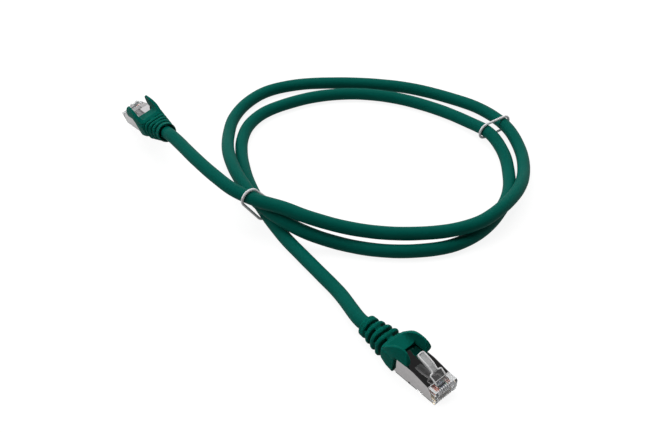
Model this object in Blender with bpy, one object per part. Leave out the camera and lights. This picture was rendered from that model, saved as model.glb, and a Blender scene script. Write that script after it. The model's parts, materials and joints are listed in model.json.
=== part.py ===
"""Shielded 8P8C network patch cable, wound into two loose turns and held by two wire ties.

Metres, +Z up, the cable lies on the plane z = 0. The origin is the bottom centre of the box round
the two plugs. Each plug is drawn in its own frame: X runs to the nose, which is at x = 0, Y is the
plug's left and Z is its latch side, up from the underside of the housing.
"""

import math

import bmesh
import bpy
import numpy as np
from mathutils import Matrix, Vector

MM = 0.001
GAP = 0.3 * MM  # between pieces that touch
FINE = 0.12 * MM  # between the small pieces inside a plug

# ---------------------------------------------------------------- driving dimensions

# Cable
CABLE_DIAMETER = 6.2 * MM
CABLE_AXIS = 4.05 * MM  # height of the cable in the plug's frame
CABLE_POINTS = 78
STRAIGHT_EXIT = 4.0 * MM  # how far it runs straight behind a boot

# Clear housing
NOSE_WIDTH = 11.68 * MM
NOSE_HEIGHT = 6.37 * MM
NOSE_TOP_CHAMFER = 0.55 * MM
NOSE_SETBACK = 0.37 * MM  # the nose leans back below the wires
HOUSING_LENGTH = 21.5 * MM
CAVITY_HALF = 4.9 * MM
CAVITY_FLOOR = 1.2 * MM
CAVITY_ROOF = 7.0 * MM
BAR_FRONT = 8.6 * MM
BAR_REAR = 12.7 * MM
BAR_HEIGHT = 2.1 * MM

# Metal shell
SHELL_WIDTH = 11.9 * MM
SHELL_HEIGHT = 8.21 * MM
SHELL_SHEET = 0.3 * MM
SHELL_LIP_HEIGHT = 6.63 * MM  # front edge of the sloping top
SHELL_LIP = 4.5 * MM
SHELL_CREST = 12.5 * MM  # where the sloping top levels out
SHELL_TOE = 2.0 * MM  # the side plates lean forward to here
SHELL_SKIRT = 0.65 * MM  # lower edge of the side plates
SHELL_REAR = 25.4 * MM
NOTCH_PLACE = 13.9 * MM
NOTCH_SIZE = 0.6 * MM

# Wires, contacts and screen
WIRE_COUNT = 8
WIRE_PITCH = 1.02 * MM
WIRE_DIAMETER = 0.9 * MM
WIRE_HEIGHT = 4.35 * MM
WIRE_FRONT = 1.25 * MM
FAN_START = 13.2 * MM
SCREEN_INSIDE = 3.0 * MM  # how far the cable's screen reaches into the housing
SCREEN_LENGTH = 5.7 * MM
WIRE_REAR = HOUSING_LENGTH - SCREEN_INSIDE
JACKET_END = WIRE_REAR + SCREEN_LENGTH  # where the jacket stops inside the boot
BUNDLE_RADIUS = 1.45 * MM  # the eight wires stand on this circle where they leave the screen
CONTACT_SHEET = 0.35 * MM
CONTACT_FRONT = 0.7 * MM
CONTACT_REAR = 4.9 * MM
CONTACT_FOOT = 0.35 * MM
SLOT_MOUTH = 2.2 * MM  # the slots are open at the nose up to this height
SCREEN_DIAMETER = 5.3 * MM
FERRULE_LENGTH = 3.8 * MM
FERRULE_SHEET = 0.4 * MM

# Latch
LATCH_WIDTH = 3.25 * MM
SHOULDER_WIDTH = 6.4 * MM
LATCH_ROOT = (-3.0 * MM, 6.9 * MM)  # the bending line, x and z
# x, top and underside along the latch, root to tip
LATCH_WIDE = ((-2.3, 7.0, 6.52), (-3.3, 7.4, 6.52), (-4.6, 8.35, 7.4), (-6.8, 9.7, 8.5))
LATCH_NARROW = (
    (-6.9, 9.76, 8.56), (-8.7, 10.95, 9.8), (-8.9, 11.25, 9.85), (-14.7, 12.95, 11.85), (-15.2, 12.8, 12.05),
)

# Boot
BOOT_FRONT = 22.1 * MM
BOOT_REAR = 44.2 * MM
BOOT_WALL = 0.65 * MM
BOOT_WIDTH = SHELL_WIDTH + 2 * (GAP + BOOT_WALL)
BOOT_CORNER = 1.7 * MM
BOOT_HEEL_HALF = 6.6 * MM  # half the width where the box ends
BOOT_HEEL_CORNER = 4.4 * MM  # its lower corners, rounder than at the front
BOOT_RAKE = 0.09  # the front edge leans, per unit of height
BOX_END = 29.0 * MM
RING_COUNT = 4
RING_PITCH = 3.3 * MM
RING_FIRST = 32.65 * MM
RING_HALF = 6.15 * MM  # half the width of the first, widest ring
COLLAR_RADIUS = 4.85 * MM
BOOT_TOP = CABLE_AXIS + COLLAR_RADIUS
BOOT_ROOF = 0.39 * MM
BOX_TOP = SHELL_HEIGHT + GAP + BOOT_ROOF
BOOT_SINK = COLLAR_RADIUS - CABLE_AXIS  # its underside lies this far below the plug's
RING_DEPTH = 1.0 * MM  # the grooves between rings
SLOT_WIDTH = 1.4 * MM
WEB_WIDTH = 3.0 * MM
MOUTH_RADIUS = 4.15 * MM
MOUTH_DEPTH = 1.9 * MM
# The ears beside the latch, and the scooped floor between them
EAR_INNER = 4.75 * MM
EAR_PROUD = 0.08 * MM
EAR_ROUND = 0.5 * MM
EAR_CLEARANCE = GAP + 0.04 * MM  # between an ear's lower edge and the shell
SCOOP_FLOOR = 0.25 * MM  # above the box
SCOOP_FILLET = 1.8 * MM
# side view of an ear, heights from the top of the box: where it grows from the boot, over its
# crown and down its front
EAR_OUTLINE = (
    (-29.9, -0.7), (-28.0, 1.0), (-26.2, 2.7), (-24.2, 4.4), (-22.2, 5.6), (-20.3, 6.2),
    (-18.6, 6.2), (-17.2, 5.6), (-16.2, 4.4), (-15.5, 2.9), (-15.3, 1.4), (-15.8, -0.35),
)
# height from the top of the box, and how far an ear's outer face leans in there
EAR_LEAN = ((0.8, 0.0), (2.1, 0.12), (3.2, 0.35), (4.3, 0.65), (5.3, 1.0), (6.3, 1.4))
EAR_TUCK = 0.75 * MM  # its lower edge ahead of the box is drawn in to the shell
CUT_OVERLAP = 0.05 * MM  # how far a cut reaches into the next one

# Wire ties
TIE_DIAMETER = 1.25 * MM
TIE_SLACK = 0.3 * MM  # the wire stands this far off the jacket
TIE_TAIL = 8.0 * MM
TIE_TWISTS = 2.0

# Where the two plugs lie: nose point, then heading, nose-up and roll angles in degrees
PLUG_A = ((74.0 * MM, -88.4 * MM, BOOT_SINK), (-47.6, 0.0, 0.0))
PLUG_B = ((-71.9 * MM, 88.4 * MM, 1.8 * MM), (123.6, -16.4, -14.4))

# Middle of the cable from plug B to plug A, in millimetres: over the left bundle, round the outer
# turn, through the middle of the left bundle, round the inner turn and out under it
ROUTE = (
    (-43.2, 44.3, 19.6), (-34.2, 31.8, 20.2), (-24.2, 20.3, 19.6), (-14.2, 11.3, 18.4),
    (-3.2, 5.3, 17.7), (7.8, 1.5, 17.1), (19.3, -2.2, 15.0), (35.3, -4.7, 11.6),
    (51.3, -5.5, 9.4), (67.3, -5.2, 8.9), (83.3, -3.2, 9.4), (96.3, 1.8, 10.1),
    (107.3, 11.8, 10.3), (116.8, 26.3, 8.8), (122.1, 43.3, 5.8), (123.1, 61.8, 4.4),
    (118.5, 79.1, 5.2), (107.2, 95.8, 4.1), (91.3, 107.0, 3.2), (71.5, 115.1, 3.2),
    (51.1, 118.7, 3.2), (29.4, 119.2, 3.2), (9.9, 116.8, 3.2), (-5.9, 109.9, 3.2),
    (-15.8, 98.6, 3.2), (-21.2, 85.8, 3.2), (-22.5, 71.3, 4.3), (-21.4, 55.1, 7.0),
    (-17.8, 40.2, 9.3), (-12.3, 26.3, 10.6), (-3.9, 11.6, 11.1), (8.0, 0.5, 10.3),
    (19.1, -4.8, 7.8), (35.2, -7.9, 4.1), (51.2, -10.4, 3.2), (67.1, -10.4, 3.2),
    (83.4, -6.7, 3.2), (96.8, 2.3, 3.2), (106.8, 15.3, 3.2), (113.4, 30.3, 3.2),
    (115.4, 45.5, 3.2), (114.6, 60.0, 3.8), (109.3, 73.4, 5.2), (99.6, 84.7, 3.9),
    (84.1, 96.6, 3.2), (63.5, 105.9, 3.2), (42.3, 109.3, 3.2), (23.0, 106.7, 3.2),
    (7.3, 100.2, 3.2), (-5.9, 91.0, 3.2), (-13.0, 80.0, 3.2), (-15.5, 67.8, 3.2),
    (-15.0, 56.4, 3.3), (-13.0, 45.1, 3.7), (-9.6, 32.6, 4.3), (-2.5, 15.2, 4.9),
    (8.5, -3.1, 3.7), (16.7, -14.2, 3.3), (24.9, -25.2, 3.2), (33.3, -37.2, 3.6),
)
# Each tie: a point of its plane, the heading of the plane's normal, a quarter turn clockwise from
# the side that its tail is on, and the heading of the tail
TIE_LEFT = ((-3.2 * MM, 10.8 * MM), -47.0, -22.0)
TIE_RIGHT = ((113.3 * MM, 79.8 * MM), -55.0, 128.0)

# ---------------------------------------------------------------- materials

COLOURS = {
    "clear": ((0.86, 0.87, 0.86), 0.08, 0.0),
    "latch": ((0.90, 0.91, 0.90), 0.10, 0.0),
    "shell": ((0.62, 0.61, 0.60), 0.22, 1.0),
    "gold": ((0.85, 0.62, 0.25), 0.25, 1.0),
    "tin": ((0.70, 0.70, 0.69), 0.45, 1.0),
    "boot": ((0.010, 0.100, 0.068), 0.42, 0.0),
    "jacket": ((0.008, 0.092, 0.062), 0.38, 0.0),
    "tie": ((0.86, 0.86, 0.84), 0.45, 0.0),
    "bar": ((0.80, 0.82, 0.84), 0.30, 0.0),
    "white_orange": ((0.85, 0.62, 0.42), 0.45, 0.0),
    "orange": ((0.80, 0.24, 0.04), 0.45, 0.0),
    "white_green": ((0.58, 0.76, 0.58), 0.45, 0.0),
    "blue": ((0.05, 0.14, 0.52), 0.45, 0.0),
    "white_blue": ((0.58, 0.66, 0.82), 0.45, 0.0),
    "green": ((0.05, 0.34, 0.12), 0.45, 0.0),
    "white_brown": ((0.72, 0.60, 0.50), 0.45, 0.0),
    "brown": ((0.20, 0.09, 0.04), 0.45, 0.0),
}
# Pins 1 to 8, in the usual order of the pairs
WIRE_ORDER = (
    "white_orange", "orange", "white_green", "blue", "white_blue", "green", "white_brown", "brown",
)


def clear_scene():
    for item in list(bpy.data.objects):
        bpy.data.objects.remove(item, do_unlink=True)


def material(name):
    colour, roughness, metallic = COLOURS[name]
    found = bpy.data.materials.get(name) or bpy.data.materials.new(name)
    found.use_nodes = True
    shader = found.node_tree.nodes["Principled BSDF"]
    shader.inputs["Base Color"].default_value = (*colour, 1.0)
    shader.inputs["Roughness"].default_value = roughness
    shader.inputs["Metallic"].default_value = metallic
    found.diffuse_color = (*colour, 1.0)
    return found


# ---------------------------------------------------------------- shapes


def mesh_of(name, build):
    """A mesh whose faces point out, from a function that fills a bmesh."""
    bm = bmesh.new()
    build(bm)
    bmesh.ops.recalc_face_normals(bm, faces=bm.faces)
    mesh = bpy.data.meshes.new(name)
    bm.to_mesh(mesh)
    bm.free()
    return mesh


def add_loft(bm, sections):
    """Skin a row of closed sections that have the same number of points, and cap both ends."""
    rings = [[bm.verts.new(point) for point in section] for section in sections]
    count = len(rings[0])
    for near, far in zip(rings, rings[1:]):
        for i in range(count):
            j = (i + 1) % count
            bm.faces.new((near[i], near[j], far[j], far[i]))
    bm.faces.new(rings[0])
    bm.faces.new(rings[-1])


def add_prism(bm, outline, low, high):
    """Extrude a side view, points of x and z, from y = low to y = high."""
    add_loft(bm, [[(x, y, z) for x, z in outline] for y in (low, high)])


def add_block(bm, x, y, z):
    add_prism(bm, ((x[0], z[0]), (x[1], z[0]), (x[1], z[1]), (x[0], z[1])), y[0], y[1])


def add_turned(bm, profile, sides):
    """Turn a profile, points of x and radius, about the cable's line."""
    angles = [2 * math.pi * (i + 0.5) / sides for i in range(sides)]
    add_loft(bm, [
        [(x, r * math.sin(a), CABLE_AXIS + r * math.cos(a)) for a in angles] for x, r in profile
    ])


def add_tube(bm, points, radius, sides):
    """A round tube along a line that runs mostly along X, with its sections square to it."""
    sections = []
    for i, point in enumerate(points):
        along = (Vector(points[min(i + 1, len(points) - 1)]) - Vector(points[max(i - 1, 0)])).normalized()
        side = along.cross(Vector((0, 0, 1))).normalized()
        up = side.cross(along)
        turns = [2 * math.pi * k / sides for k in range(sides)]
        sections.append([Vector(point) + radius * (math.cos(t) * side + math.sin(t) * up) for t in turns])
    add_loft(bm, sections)


def add_object(name, mesh, colour, parent=None):
    part = bpy.data.objects.new(name, mesh)
    mesh.materials.append(material(colour))
    mesh.shade_smooth()
    mesh.set_sharp_from_angle(angle=math.radians(30))
    bpy.context.scene.collection.objects.link(part)
    part.parent = parent
    return part


def add_cutter(name, build, parent):
    cutter = bpy.data.objects.new(name, mesh_of(name, build))
    bpy.context.scene.collection.objects.link(cutter)
    cutter.parent = parent
    cutter.hide_render = True
    cutter.display_type = "WIRE"
    return cutter


def combine(part, other, operation="DIFFERENCE"):
    step = part.modifiers.new(other.name, "BOOLEAN")
    step.operation = operation
    step.solver = "EXACT"
    step.object = other


def rounded_section(x, half, low, high, corner, lower_corner=None, rake=0.0, steps=5):
    """A rounded rectangle across the boot; a circle when the corner is half its size."""
    points = []
    for y_sign, z_sign, start in ((1, 1, 0), (-1, 1, 90), (-1, -1, 180), (1, -1, 270)):
        radius = corner if z_sign > 0 else lower_corner or corner
        y_mid = y_sign * (half - radius)
        z_mid = high - radius if z_sign > 0 else low + radius
        for k in range(steps + 1):
            turn = math.radians(start + 90 * k / steps)
            y = y_mid + radius * math.cos(turn)
            z = z_mid + radius * math.sin(turn)
            points.append((x - rake * (high - z), y, z))
    return points


# ---------------------------------------------------------------- plug pieces


def wire_offset(index):
    """Y of a contact and its wire; pin 1 is at the plug's right."""
    return (index - (WIRE_COUNT - 1) / 2) * WIRE_PITCH


def shell_outline(inset=0.0):
    """Side view of the shell's outer faces, or of the space inside them."""
    slope = (SHELL_HEIGHT - SHELL_LIP_HEIGHT) / (SHELL_CREST - SHELL_LIP)
    top = SHELL_HEIGHT - inset
    ahead = 3 * MM if inset else 0.0
    beyond = 2 * MM if inset else 0.0
    return (
        (-SHELL_LIP + ahead, SHELL_LIP_HEIGHT - inset - slope * ahead),
        (-SHELL_CREST, top),
        (-SHELL_REAR - beyond, top),
        (-SHELL_REAR - beyond, SHELL_SKIRT - beyond),
        (-NOTCH_PLACE - NOTCH_SIZE, SHELL_SKIRT - beyond),
        (-NOTCH_PLACE - NOTCH_SIZE / 2, SHELL_SKIRT - beyond + (0 if inset else NOTCH_SIZE)),
        (-NOTCH_PLACE + NOTCH_SIZE / 2, SHELL_SKIRT - beyond + (0 if inset else NOTCH_SIZE)),
        (-NOTCH_PLACE + NOTCH_SIZE, SHELL_SKIRT - beyond),
        (-SHELL_TOE + ahead, SHELL_SKIRT - beyond),
    )


def housing(tag, frame):
    """Clear body: full width at the nose, narrower where the shell wraps it."""
    under = SHELL_SHEET + FINE
    step = -SHELL_LIP + 2 * FINE
    slope = (SHELL_HEIGHT - SHELL_LIP_HEIGHT) / (SHELL_CREST - SHELL_LIP)
    half = NOSE_WIDTH / 2

    def body(bm):
        add_prism(bm, (
            (-NOSE_SETBACK, 0.0),
            (0.0, SLOT_MOUTH + 0.2 * MM),
            (0.0, NOSE_HEIGHT - 1.5 * NOSE_TOP_CHAMFER),
            (-NOSE_TOP_CHAMFER, NOSE_HEIGHT),
            (step, NOSE_HEIGHT),
            (step, SHELL_LIP_HEIGHT - under - slope * 2 * FINE),
            (-SHELL_CREST, SHELL_HEIGHT - under),
            (-HOUSING_LENGTH, SHELL_HEIGHT - under),
            (-HOUSING_LENGTH, 0.0),
        ), -half, half)

    def side_recess(bm):
        inner = SHELL_WIDTH / 2 - SHELL_SHEET - FINE
        lean = 2 * FINE
        outline = (
            (-SHELL_TOE + lean, SHELL_SKIRT - FINE),
            (-SHELL_LIP + lean, SHELL_LIP_HEIGHT),
            (-SHELL_LIP + lean, SHELL_HEIGHT + 2 * MM),
            (-HOUSING_LENGTH - 1 * MM, SHELL_HEIGHT + 2 * MM),
            (-HOUSING_LENGTH - 1 * MM, SHELL_SKIRT - FINE),
        )
        add_prism(bm, outline, inner, half + 1 * MM)
        add_prism(bm, outline, -half - 1 * MM, -inner)

    def wire_passage(bm):
        low = WIRE_HEIGHT - WIRE_DIAMETER / 2 - FINE
        high = WIRE_HEIGHT + WIRE_DIAMETER / 2 + FINE
        reach = wire_offset(WIRE_COUNT - 1) + WIRE_DIAMETER / 2 + FINE
        add_block(bm, (-BAR_FRONT - FINE, -WIRE_FRONT + FINE), (-reach, reach), (low, high))

    def rear_cavity(bm):
        bar_low = WIRE_HEIGHT - BAR_HEIGHT / 2 - FINE
        bar_high = WIRE_HEIGHT + BAR_HEIGHT / 2 + FINE
        front, back = -BAR_FRONT + FINE, -BAR_REAR - FINE
        rear = -HOUSING_LENGTH - 1 * MM
        add_prism(bm, (
            (front, bar_low), (front, bar_high), (back, bar_high), (back, CAVITY_ROOF),
            (rear, CAVITY_ROOF), (rear, CAVITY_FLOOR), (back, CAVITY_FLOOR), (back, bar_low),
        ), -CAVITY_HALF, CAVITY_HALF)

    def contact_slots(bm):
        top = WIRE_HEIGHT - WIRE_DIAMETER / 2 + FINE
        back = -CONTACT_REAR - 2 * FINE
        front = -CONTACT_FRONT - 0.6 * MM
        wide = CONTACT_SHEET / 2 + FINE
        for index in range(WIRE_COUNT):
            y = wire_offset(index)
            add_prism(bm, (
                (1 * MM, -1 * MM), (1 * MM, SLOT_MOUTH), (front, SLOT_MOUTH),
                (front, top), (back, top), (back, -1 * MM),
            ), y - wide, y + wide)

    part = add_object("housing" + tag, mesh_of("housing", body), "clear", frame)
    for name, build in (
        ("cut_side_recess", side_recess), ("cut_wire_passage", wire_passage),
        ("cut_rear_cavity", rear_cavity), ("cut_contact_slots", contact_slots),
    ):
        combine(part, add_cutter(name + tag, build, frame))
    return part


def shell(tag, frame):
    """Folded sheet: a sloping top and two side plates, open below and at both ends."""
    half = SHELL_WIDTH / 2
    sheet = mesh_of("shell", lambda bm: add_prism(bm, shell_outline(), -half, half))
    part = add_object("shell" + tag, sheet, "shell", frame)
    inner = half - SHELL_SHEET
    space = add_cutter(
        "cut_shell_space" + tag, lambda bm: add_prism(bm, shell_outline(SHELL_SHEET), -inner, inner), frame)
    combine(part, space)
    return part


def contact_mesh():
    """Gold blade with two piercing teeth under its wire and a rounded contact edge below."""
    tooth = WIRE_HEIGHT - WIRE_DIAMETER / 2 - FINE
    front, back, foot = -CONTACT_FRONT, -CONTACT_REAR, CONTACT_FOOT
    shoulder = tooth - 0.8 * MM
    throat = front - 0.85 * MM
    outline = (
        (front, foot + 0.25 * MM), (front - 0.3 * MM, foot), (back + 0.4 * MM, foot), (back, foot + 0.4 * MM),
        (back, shoulder), (back + 0.45 * MM, tooth), (back + 0.95 * MM, shoulder),
        (throat - 1.25 * MM, shoulder), (throat - 0.75 * MM, tooth), (throat - 0.25 * MM, shoulder),
        (throat, shoulder - 0.7 * MM), (front, SLOT_MOUTH - 0.9 * MM),
    )
    half = CONTACT_SHEET / 2
    return mesh_of("contact", lambda bm: add_prism(bm, outline, -half, half))


def contacts(tag, frame, mesh):
    for index in range(WIRE_COUNT):
        blade = add_object(f"contact_{index + 1}{tag}", mesh, "gold", frame)
        blade.location.y = wire_offset(index)


def wire_path(index):
    """Flat beside its neighbours at the nose, then gathered onto the bundle's circle."""
    pair_place = (index // 2) * 2 - (WIRE_COUNT // 2 - 1)  # -3, -1, 1, 3
    turn = math.radians(90 - 22.5 * (4 - abs(pair_place)) if abs(pair_place) > 1 else 22.5)
    side = math.copysign(1, pair_place)
    lift = 1 if index % 2 else -1
    y_end = side * BUNDLE_RADIUS * math.sin(turn)
    z_end = CABLE_AXIS + lift * BUNDLE_RADIUS * math.cos(turn)
    y_start = wire_offset(index)
    points = [(-WIRE_FRONT, y_start, WIRE_HEIGHT)]
    steps = 6
    for k in range(steps + 1):
        share = k / steps
        x = -FAN_START - share * (WIRE_REAR - FAN_START)
        y = y_start + share ** 2 * (y_end - y_start)
        z = z_end + (1 - share) ** 2 * (WIRE_HEIGHT - z_end)  # the rows part before they close up
        points.append((x, y, z))
    return points


def wires(tag, frame):
    for index, colour in enumerate(WIRE_ORDER):
        mesh = mesh_of("wire", lambda bm: add_tube(bm, wire_path(index), WIRE_DIAMETER / 2, 8))
        add_object(f"wire_{index + 1}_{colour}{tag}", mesh, colour, frame)


def load_bar(tag, frame):
    """Bar that keeps the eight wires in line; they run through its window."""
    half = CAVITY_HALF - FINE
    low, high = WIRE_HEIGHT - BAR_HEIGHT / 2, WIRE_HEIGHT + BAR_HEIGHT / 2
    part = add_object("load_bar" + tag, mesh_of("load_bar", lambda bm: add_block(
        bm, (-BAR_REAR, -BAR_FRONT), (-half, half), (low, high))), "bar", frame)
    reach = wire_offset(WIRE_COUNT - 1) + WIRE_DIAMETER / 2 + FINE
    clear = WIRE_DIAMETER / 2 + FINE
    window = add_cutter("cut_window" + tag, lambda bm: add_block(
        bm, (-BAR_REAR - 1 * MM, -BAR_FRONT + 1 * MM), (-reach, reach),
        (WIRE_HEIGHT - clear, WIRE_HEIGHT + clear)), frame)
    combine(part, window)


def screen_and_ferrule(tag, frame):
    """The cable's braid where the jacket stops, and the crimped ring round the jacket's end."""
    radius = SCREEN_DIAMETER / 2
    add_object("screen" + tag, mesh_of("screen", lambda bm: add_turned(
        bm, ((-WIRE_REAR - GAP, radius), (-JACKET_END + GAP, radius)), 16)), "tin", frame)
    inner = CABLE_DIAMETER / 2 + GAP + 0.06 * MM
    outer = inner + FERRULE_SHEET
    front = -SHELL_REAR - GAP
    part = add_object("ferrule" + tag, mesh_of("ferrule", lambda bm: add_turned(
        bm, ((front - FERRULE_LENGTH, outer), (front, outer)), 18)), "tin", frame)
    combine(part, add_cutter("cut_ferrule" + tag, lambda bm: add_turned(
        bm, ((front - FERRULE_LENGTH - 1 * MM, inner), (front + 1 * MM, inner)), 18), frame))
    return front, outer


def latch(tag, frame):
    """Springy tongue over the plug: it bends at its root on the nose."""
    root = Vector((LATCH_ROOT[0], 0, LATCH_ROOT[1]))

    def body(bm):
        sections = []
        for stations, width in ((LATCH_WIDE, SHOULDER_WIDTH), (LATCH_NARROW, LATCH_WIDTH)):
            for x, top, under in stations:
                half = width / 2
                corners = ((-half, under), (half, under), (half, top), (-half, top))
                sections.append([Vector((x * MM, y, z * MM)) - root for y, z in corners])
        add_loft(bm, sections)

    part = add_object("latch" + tag, mesh_of("latch", body), "latch", frame)
    part.location = root
    return part


def ring_section(x, place, inset):
    """An oval across the tail: place 0 is the first ring, the last ring is round."""
    share = place / (RING_COUNT - 1)
    half = RING_HALF + (COLLAR_RADIUS - RING_HALF) * share
    corner = min(1.0, 0.62 + 0.38 * share) * COLLAR_RADIUS
    low, high = -BOOT_SINK + inset, BOOT_TOP - inset
    return rounded_section(x, half - inset, low, high, corner - inset)


def boot(tag, frame, ferrule_front, ferrule_outer):
    """Moulded boot: box round the plug's end, ears beside the latch, ribbed and slotted tail."""
    half = BOOT_WIDTH / 2

    def body(bm):
        heel = -SHELL_REAR - GAP - BOOT_WALL  # behind the pocket the lower corners round off
        sections = [
            rounded_section(-BOOT_FRONT, half, -BOOT_SINK, BOX_TOP, BOOT_CORNER, rake=BOOT_RAKE),
            rounded_section(heel, half, -BOOT_SINK, BOX_TOP, BOOT_CORNER),
            rounded_section(-BOX_END, BOOT_HEEL_HALF, -BOOT_SINK, BOX_TOP, BOOT_CORNER, BOOT_HEEL_CORNER),
        ]
        flank, edge = 0.26 * RING_PITCH, 0.2 * MM
        for index in range(RING_COUNT):
            crest = -RING_FIRST - index * RING_PITCH
            if index == 0:
                sections.append(ring_section(crest + RING_PITCH / 2, 0, RING_DEPTH))
            sections.append(ring_section(crest + flank, index, edge))
            sections.append(ring_section(crest, index, 0.0))
            if index < RING_COUNT - 1:
                sections.append(ring_section(crest - flank, index, edge))
                sections.append(ring_section(crest - RING_PITCH / 2, index + 0.5, RING_DEPTH))
        sections.append(ring_section(-BOOT_REAR, RING_COUNT - 1, edge))
        add_loft(bm, sections)

    def ears(bm):
        """Both ears and the space between them: a side view whose flanks lean in to the crown."""
        outline = [(x * MM, BOX_TOP + z * MM) for x, z in EAR_OUTLINE]
        seat = SHELL_HEIGHT + EAR_CLEARANCE
        root, foot = -BOOT_FRONT - BOOT_WALL, seat - 2.3 * EAR_ROUND
        outline[-1] = (outline[-1][0], seat)
        outline += [(root, seat), (root, foot), (outline[0][0], foot)]
        flank = half + EAR_PROUD
        add_prism(bm, outline, -flank, flank)
        rim = [e for e in bm.edges if abs(sum(v.co.y for v in e.verts)) > 1.99 * flank]
        bmesh.ops.bevel(bm, geom=rim, offset=EAR_ROUND, segments=2, profile=0.5, affect="EDGES")
        levels, leans = zip(*((BOX_TOP + z * MM, lean * MM) for z, lean in EAR_LEAN))
        ahead = -BOOT_FRONT + BOOT_WALL / 2
        planes = [((0, 0, z), (0, 0, 1)) for z in levels] + [((ahead, 0, 0), (1, 0, 0))]
        for point, normal in planes:
            everything = [*bm.verts, *bm.edges, *bm.faces]
            bmesh.ops.bisect_plane(bm, geom=everything, plane_co=point, plane_no=normal, dist=1e-7)
        for v in bm.verts:
            lean = np.interp(v.co.z, levels, leans)
            if v.co.x > ahead - 1e-6:
                lean += EAR_TUCK * np.interp(v.co.z, (seat, levels[0]), (1, 0))
            v.co.y *= (flank - lean) / flank
        bmesh.ops.triangulate(bm, faces=bm.faces)

    def scoop(bm):
        """The space between the ears, with a rounded floor over the box."""
        floor, top = BOX_TOP + SCOOP_FLOOR, BOX_TOP + 2 * COLLAR_RADIUS
        quarter = []
        for k in range(5):
            turn = math.radians(90 * k / 4)
            y = EAR_INNER - SCOOP_FILLET * (1 - math.cos(turn))
            z = floor + SCOOP_FILLET * (1 - math.sin(turn))
            quarter.append((y, z))
        right = [(EAR_INNER, top), *quarter]
        section = right + [(-y, z) for y, z in reversed(right)]
        behind = EAR_OUTLINE[0][0] * MM - BOOT_WALL
        add_loft(bm, [[(x, y, z) for y, z in section] for x in (behind, 0.0)])

    def latch_space(bm):
        """Ahead of the box the ears stand on the shell, with nothing between them."""
        heights = (SHELL_HEIGHT, BOX_TOP + COLLAR_RADIUS)
        add_block(bm, (-BOOT_FRONT - CUT_OVERLAP, 0.0), (-EAR_INNER, EAR_INNER), heights)

    def plug_pocket(bm):
        wide = SHELL_WIDTH / 2 + GAP
        long = (-SHELL_REAR - GAP, -BOOT_FRONT + 2 * MM)
        add_block(bm, long, (-wide, wide), (SHELL_SKIRT - GAP, SHELL_HEIGHT + GAP))

    def bore(bm):
        narrow = CABLE_DIAMETER / 2 + GAP + 0.05 * MM
        seat = ferrule_outer + GAP
        back = ferrule_front - FERRULE_LENGTH - GAP
        beyond = 0.5 * MM
        add_turned(bm, (
            (-BOOT_REAR - beyond, MOUTH_RADIUS + beyond * (MOUTH_RADIUS - narrow) / MOUTH_DEPTH),
            (-BOOT_REAR + MOUTH_DEPTH, narrow), (back, narrow), (back, seat), (-SHELL_REAR, seat),
        ), 20)

    def tail_slots(bm):
        far = 2 * RING_HALF
        for index in range(RING_COUNT):
            x = -(RING_FIRST - RING_PITCH / 2 + index * RING_PITCH)
            span = (x - SLOT_WIDTH / 2, x + SLOT_WIDTH / 2)
            if index % 2 == 0:  # webs above and below
                add_block(bm, span, (WEB_WIDTH / 2, far), (CABLE_AXIS - far, CABLE_AXIS + far))
                add_block(bm, span, (-far, -WEB_WIDTH / 2), (CABLE_AXIS - far, CABLE_AXIS + far))
            else:  # webs left and right
                add_block(bm, span, (-far, far), (CABLE_AXIS + WEB_WIDTH / 2, CABLE_AXIS + far))
                add_block(bm, span, (-far, far), (CABLE_AXIS - far, CABLE_AXIS - WEB_WIDTH / 2))

    part = add_object("boot" + tag, mesh_of("boot", body), "boot", frame)
    combine(part, add_cutter("ears" + tag, ears, frame), "UNION")
    for name, build in (
        ("cut_scoop", scoop), ("cut_latch_space", latch_space),
        ("cut_pocket", plug_pocket), ("cut_bore", bore), ("cut_slots", tail_slots),
    ):
        combine(part, add_cutter(name + tag, build, frame))


def plug(tag, place, contact):
    position, (heading, nose_up, roll) = place
    frame = bpy.data.objects.new("plug_frame" + tag, None)
    bpy.context.scene.collection.objects.link(frame)
    turn = (
        Matrix.Rotation(math.radians(heading), 4, "Z")
        @ Matrix.Rotation(-math.radians(nose_up), 4, "Y")
        @ Matrix.Rotation(math.radians(roll), 4, "X")
    )
    frame.matrix_world = Matrix.Translation(position) @ turn
    housing(tag, frame)
    shell(tag, frame)
    contacts(tag, frame, contact)
    wires(tag, frame)
    load_bar(tag, frame)
    ferrule_front, ferrule_outer = screen_and_ferrule(tag, frame)
    latch(tag, frame)
    boot(tag, frame, ferrule_front, ferrule_outer)
    return frame.matrix_world.copy()


# ---------------------------------------------------------------- cable and ties


def smooth_line(points, count):
    """Evenly spaced points on the centripetal Catmull-Rom curve through the given ones."""
    ends = [2 * points[0] - points[1]], [2 * points[-1] - points[-2]]
    knots = np.array([*ends[0], *points, *ends[1]])
    fine = []
    for p0, p1, p2, p3 in zip(knots, knots[1:], knots[2:], knots[3:]):
        t = np.cumsum([0.0] + [np.linalg.norm(b - a) ** 0.5 for a, b in ((p0, p1), (p1, p2), (p2, p3))])
        for u in np.linspace(t[1], t[2], 24, endpoint=False):
            a1 = ((t[1] - u) * p0 + (u - t[0]) * p1) / (t[1] - t[0])
            a2 = ((t[2] - u) * p1 + (u - t[1]) * p2) / (t[2] - t[1])
            a3 = ((t[3] - u) * p2 + (u - t[2]) * p3) / (t[3] - t[2])
            b1 = ((t[2] - u) * a1 + (u - t[0]) * a2) / (t[2] - t[0])
            b2 = ((t[3] - u) * a2 + (u - t[1]) * a3) / (t[3] - t[1])
            fine.append(((t[2] - u) * b1 + (u - t[1]) * b2) / (t[2] - t[1]))
    fine = np.array([*fine, knots[-2]])
    along = np.concatenate([[0.0], np.cumsum(np.linalg.norm(np.diff(fine, axis=0), axis=1))])
    wanted = np.linspace(0.0, along[-1], round(count))
    return np.column_stack([np.interp(wanted, along, fine[:, k]) for k in range(3)])


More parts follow.
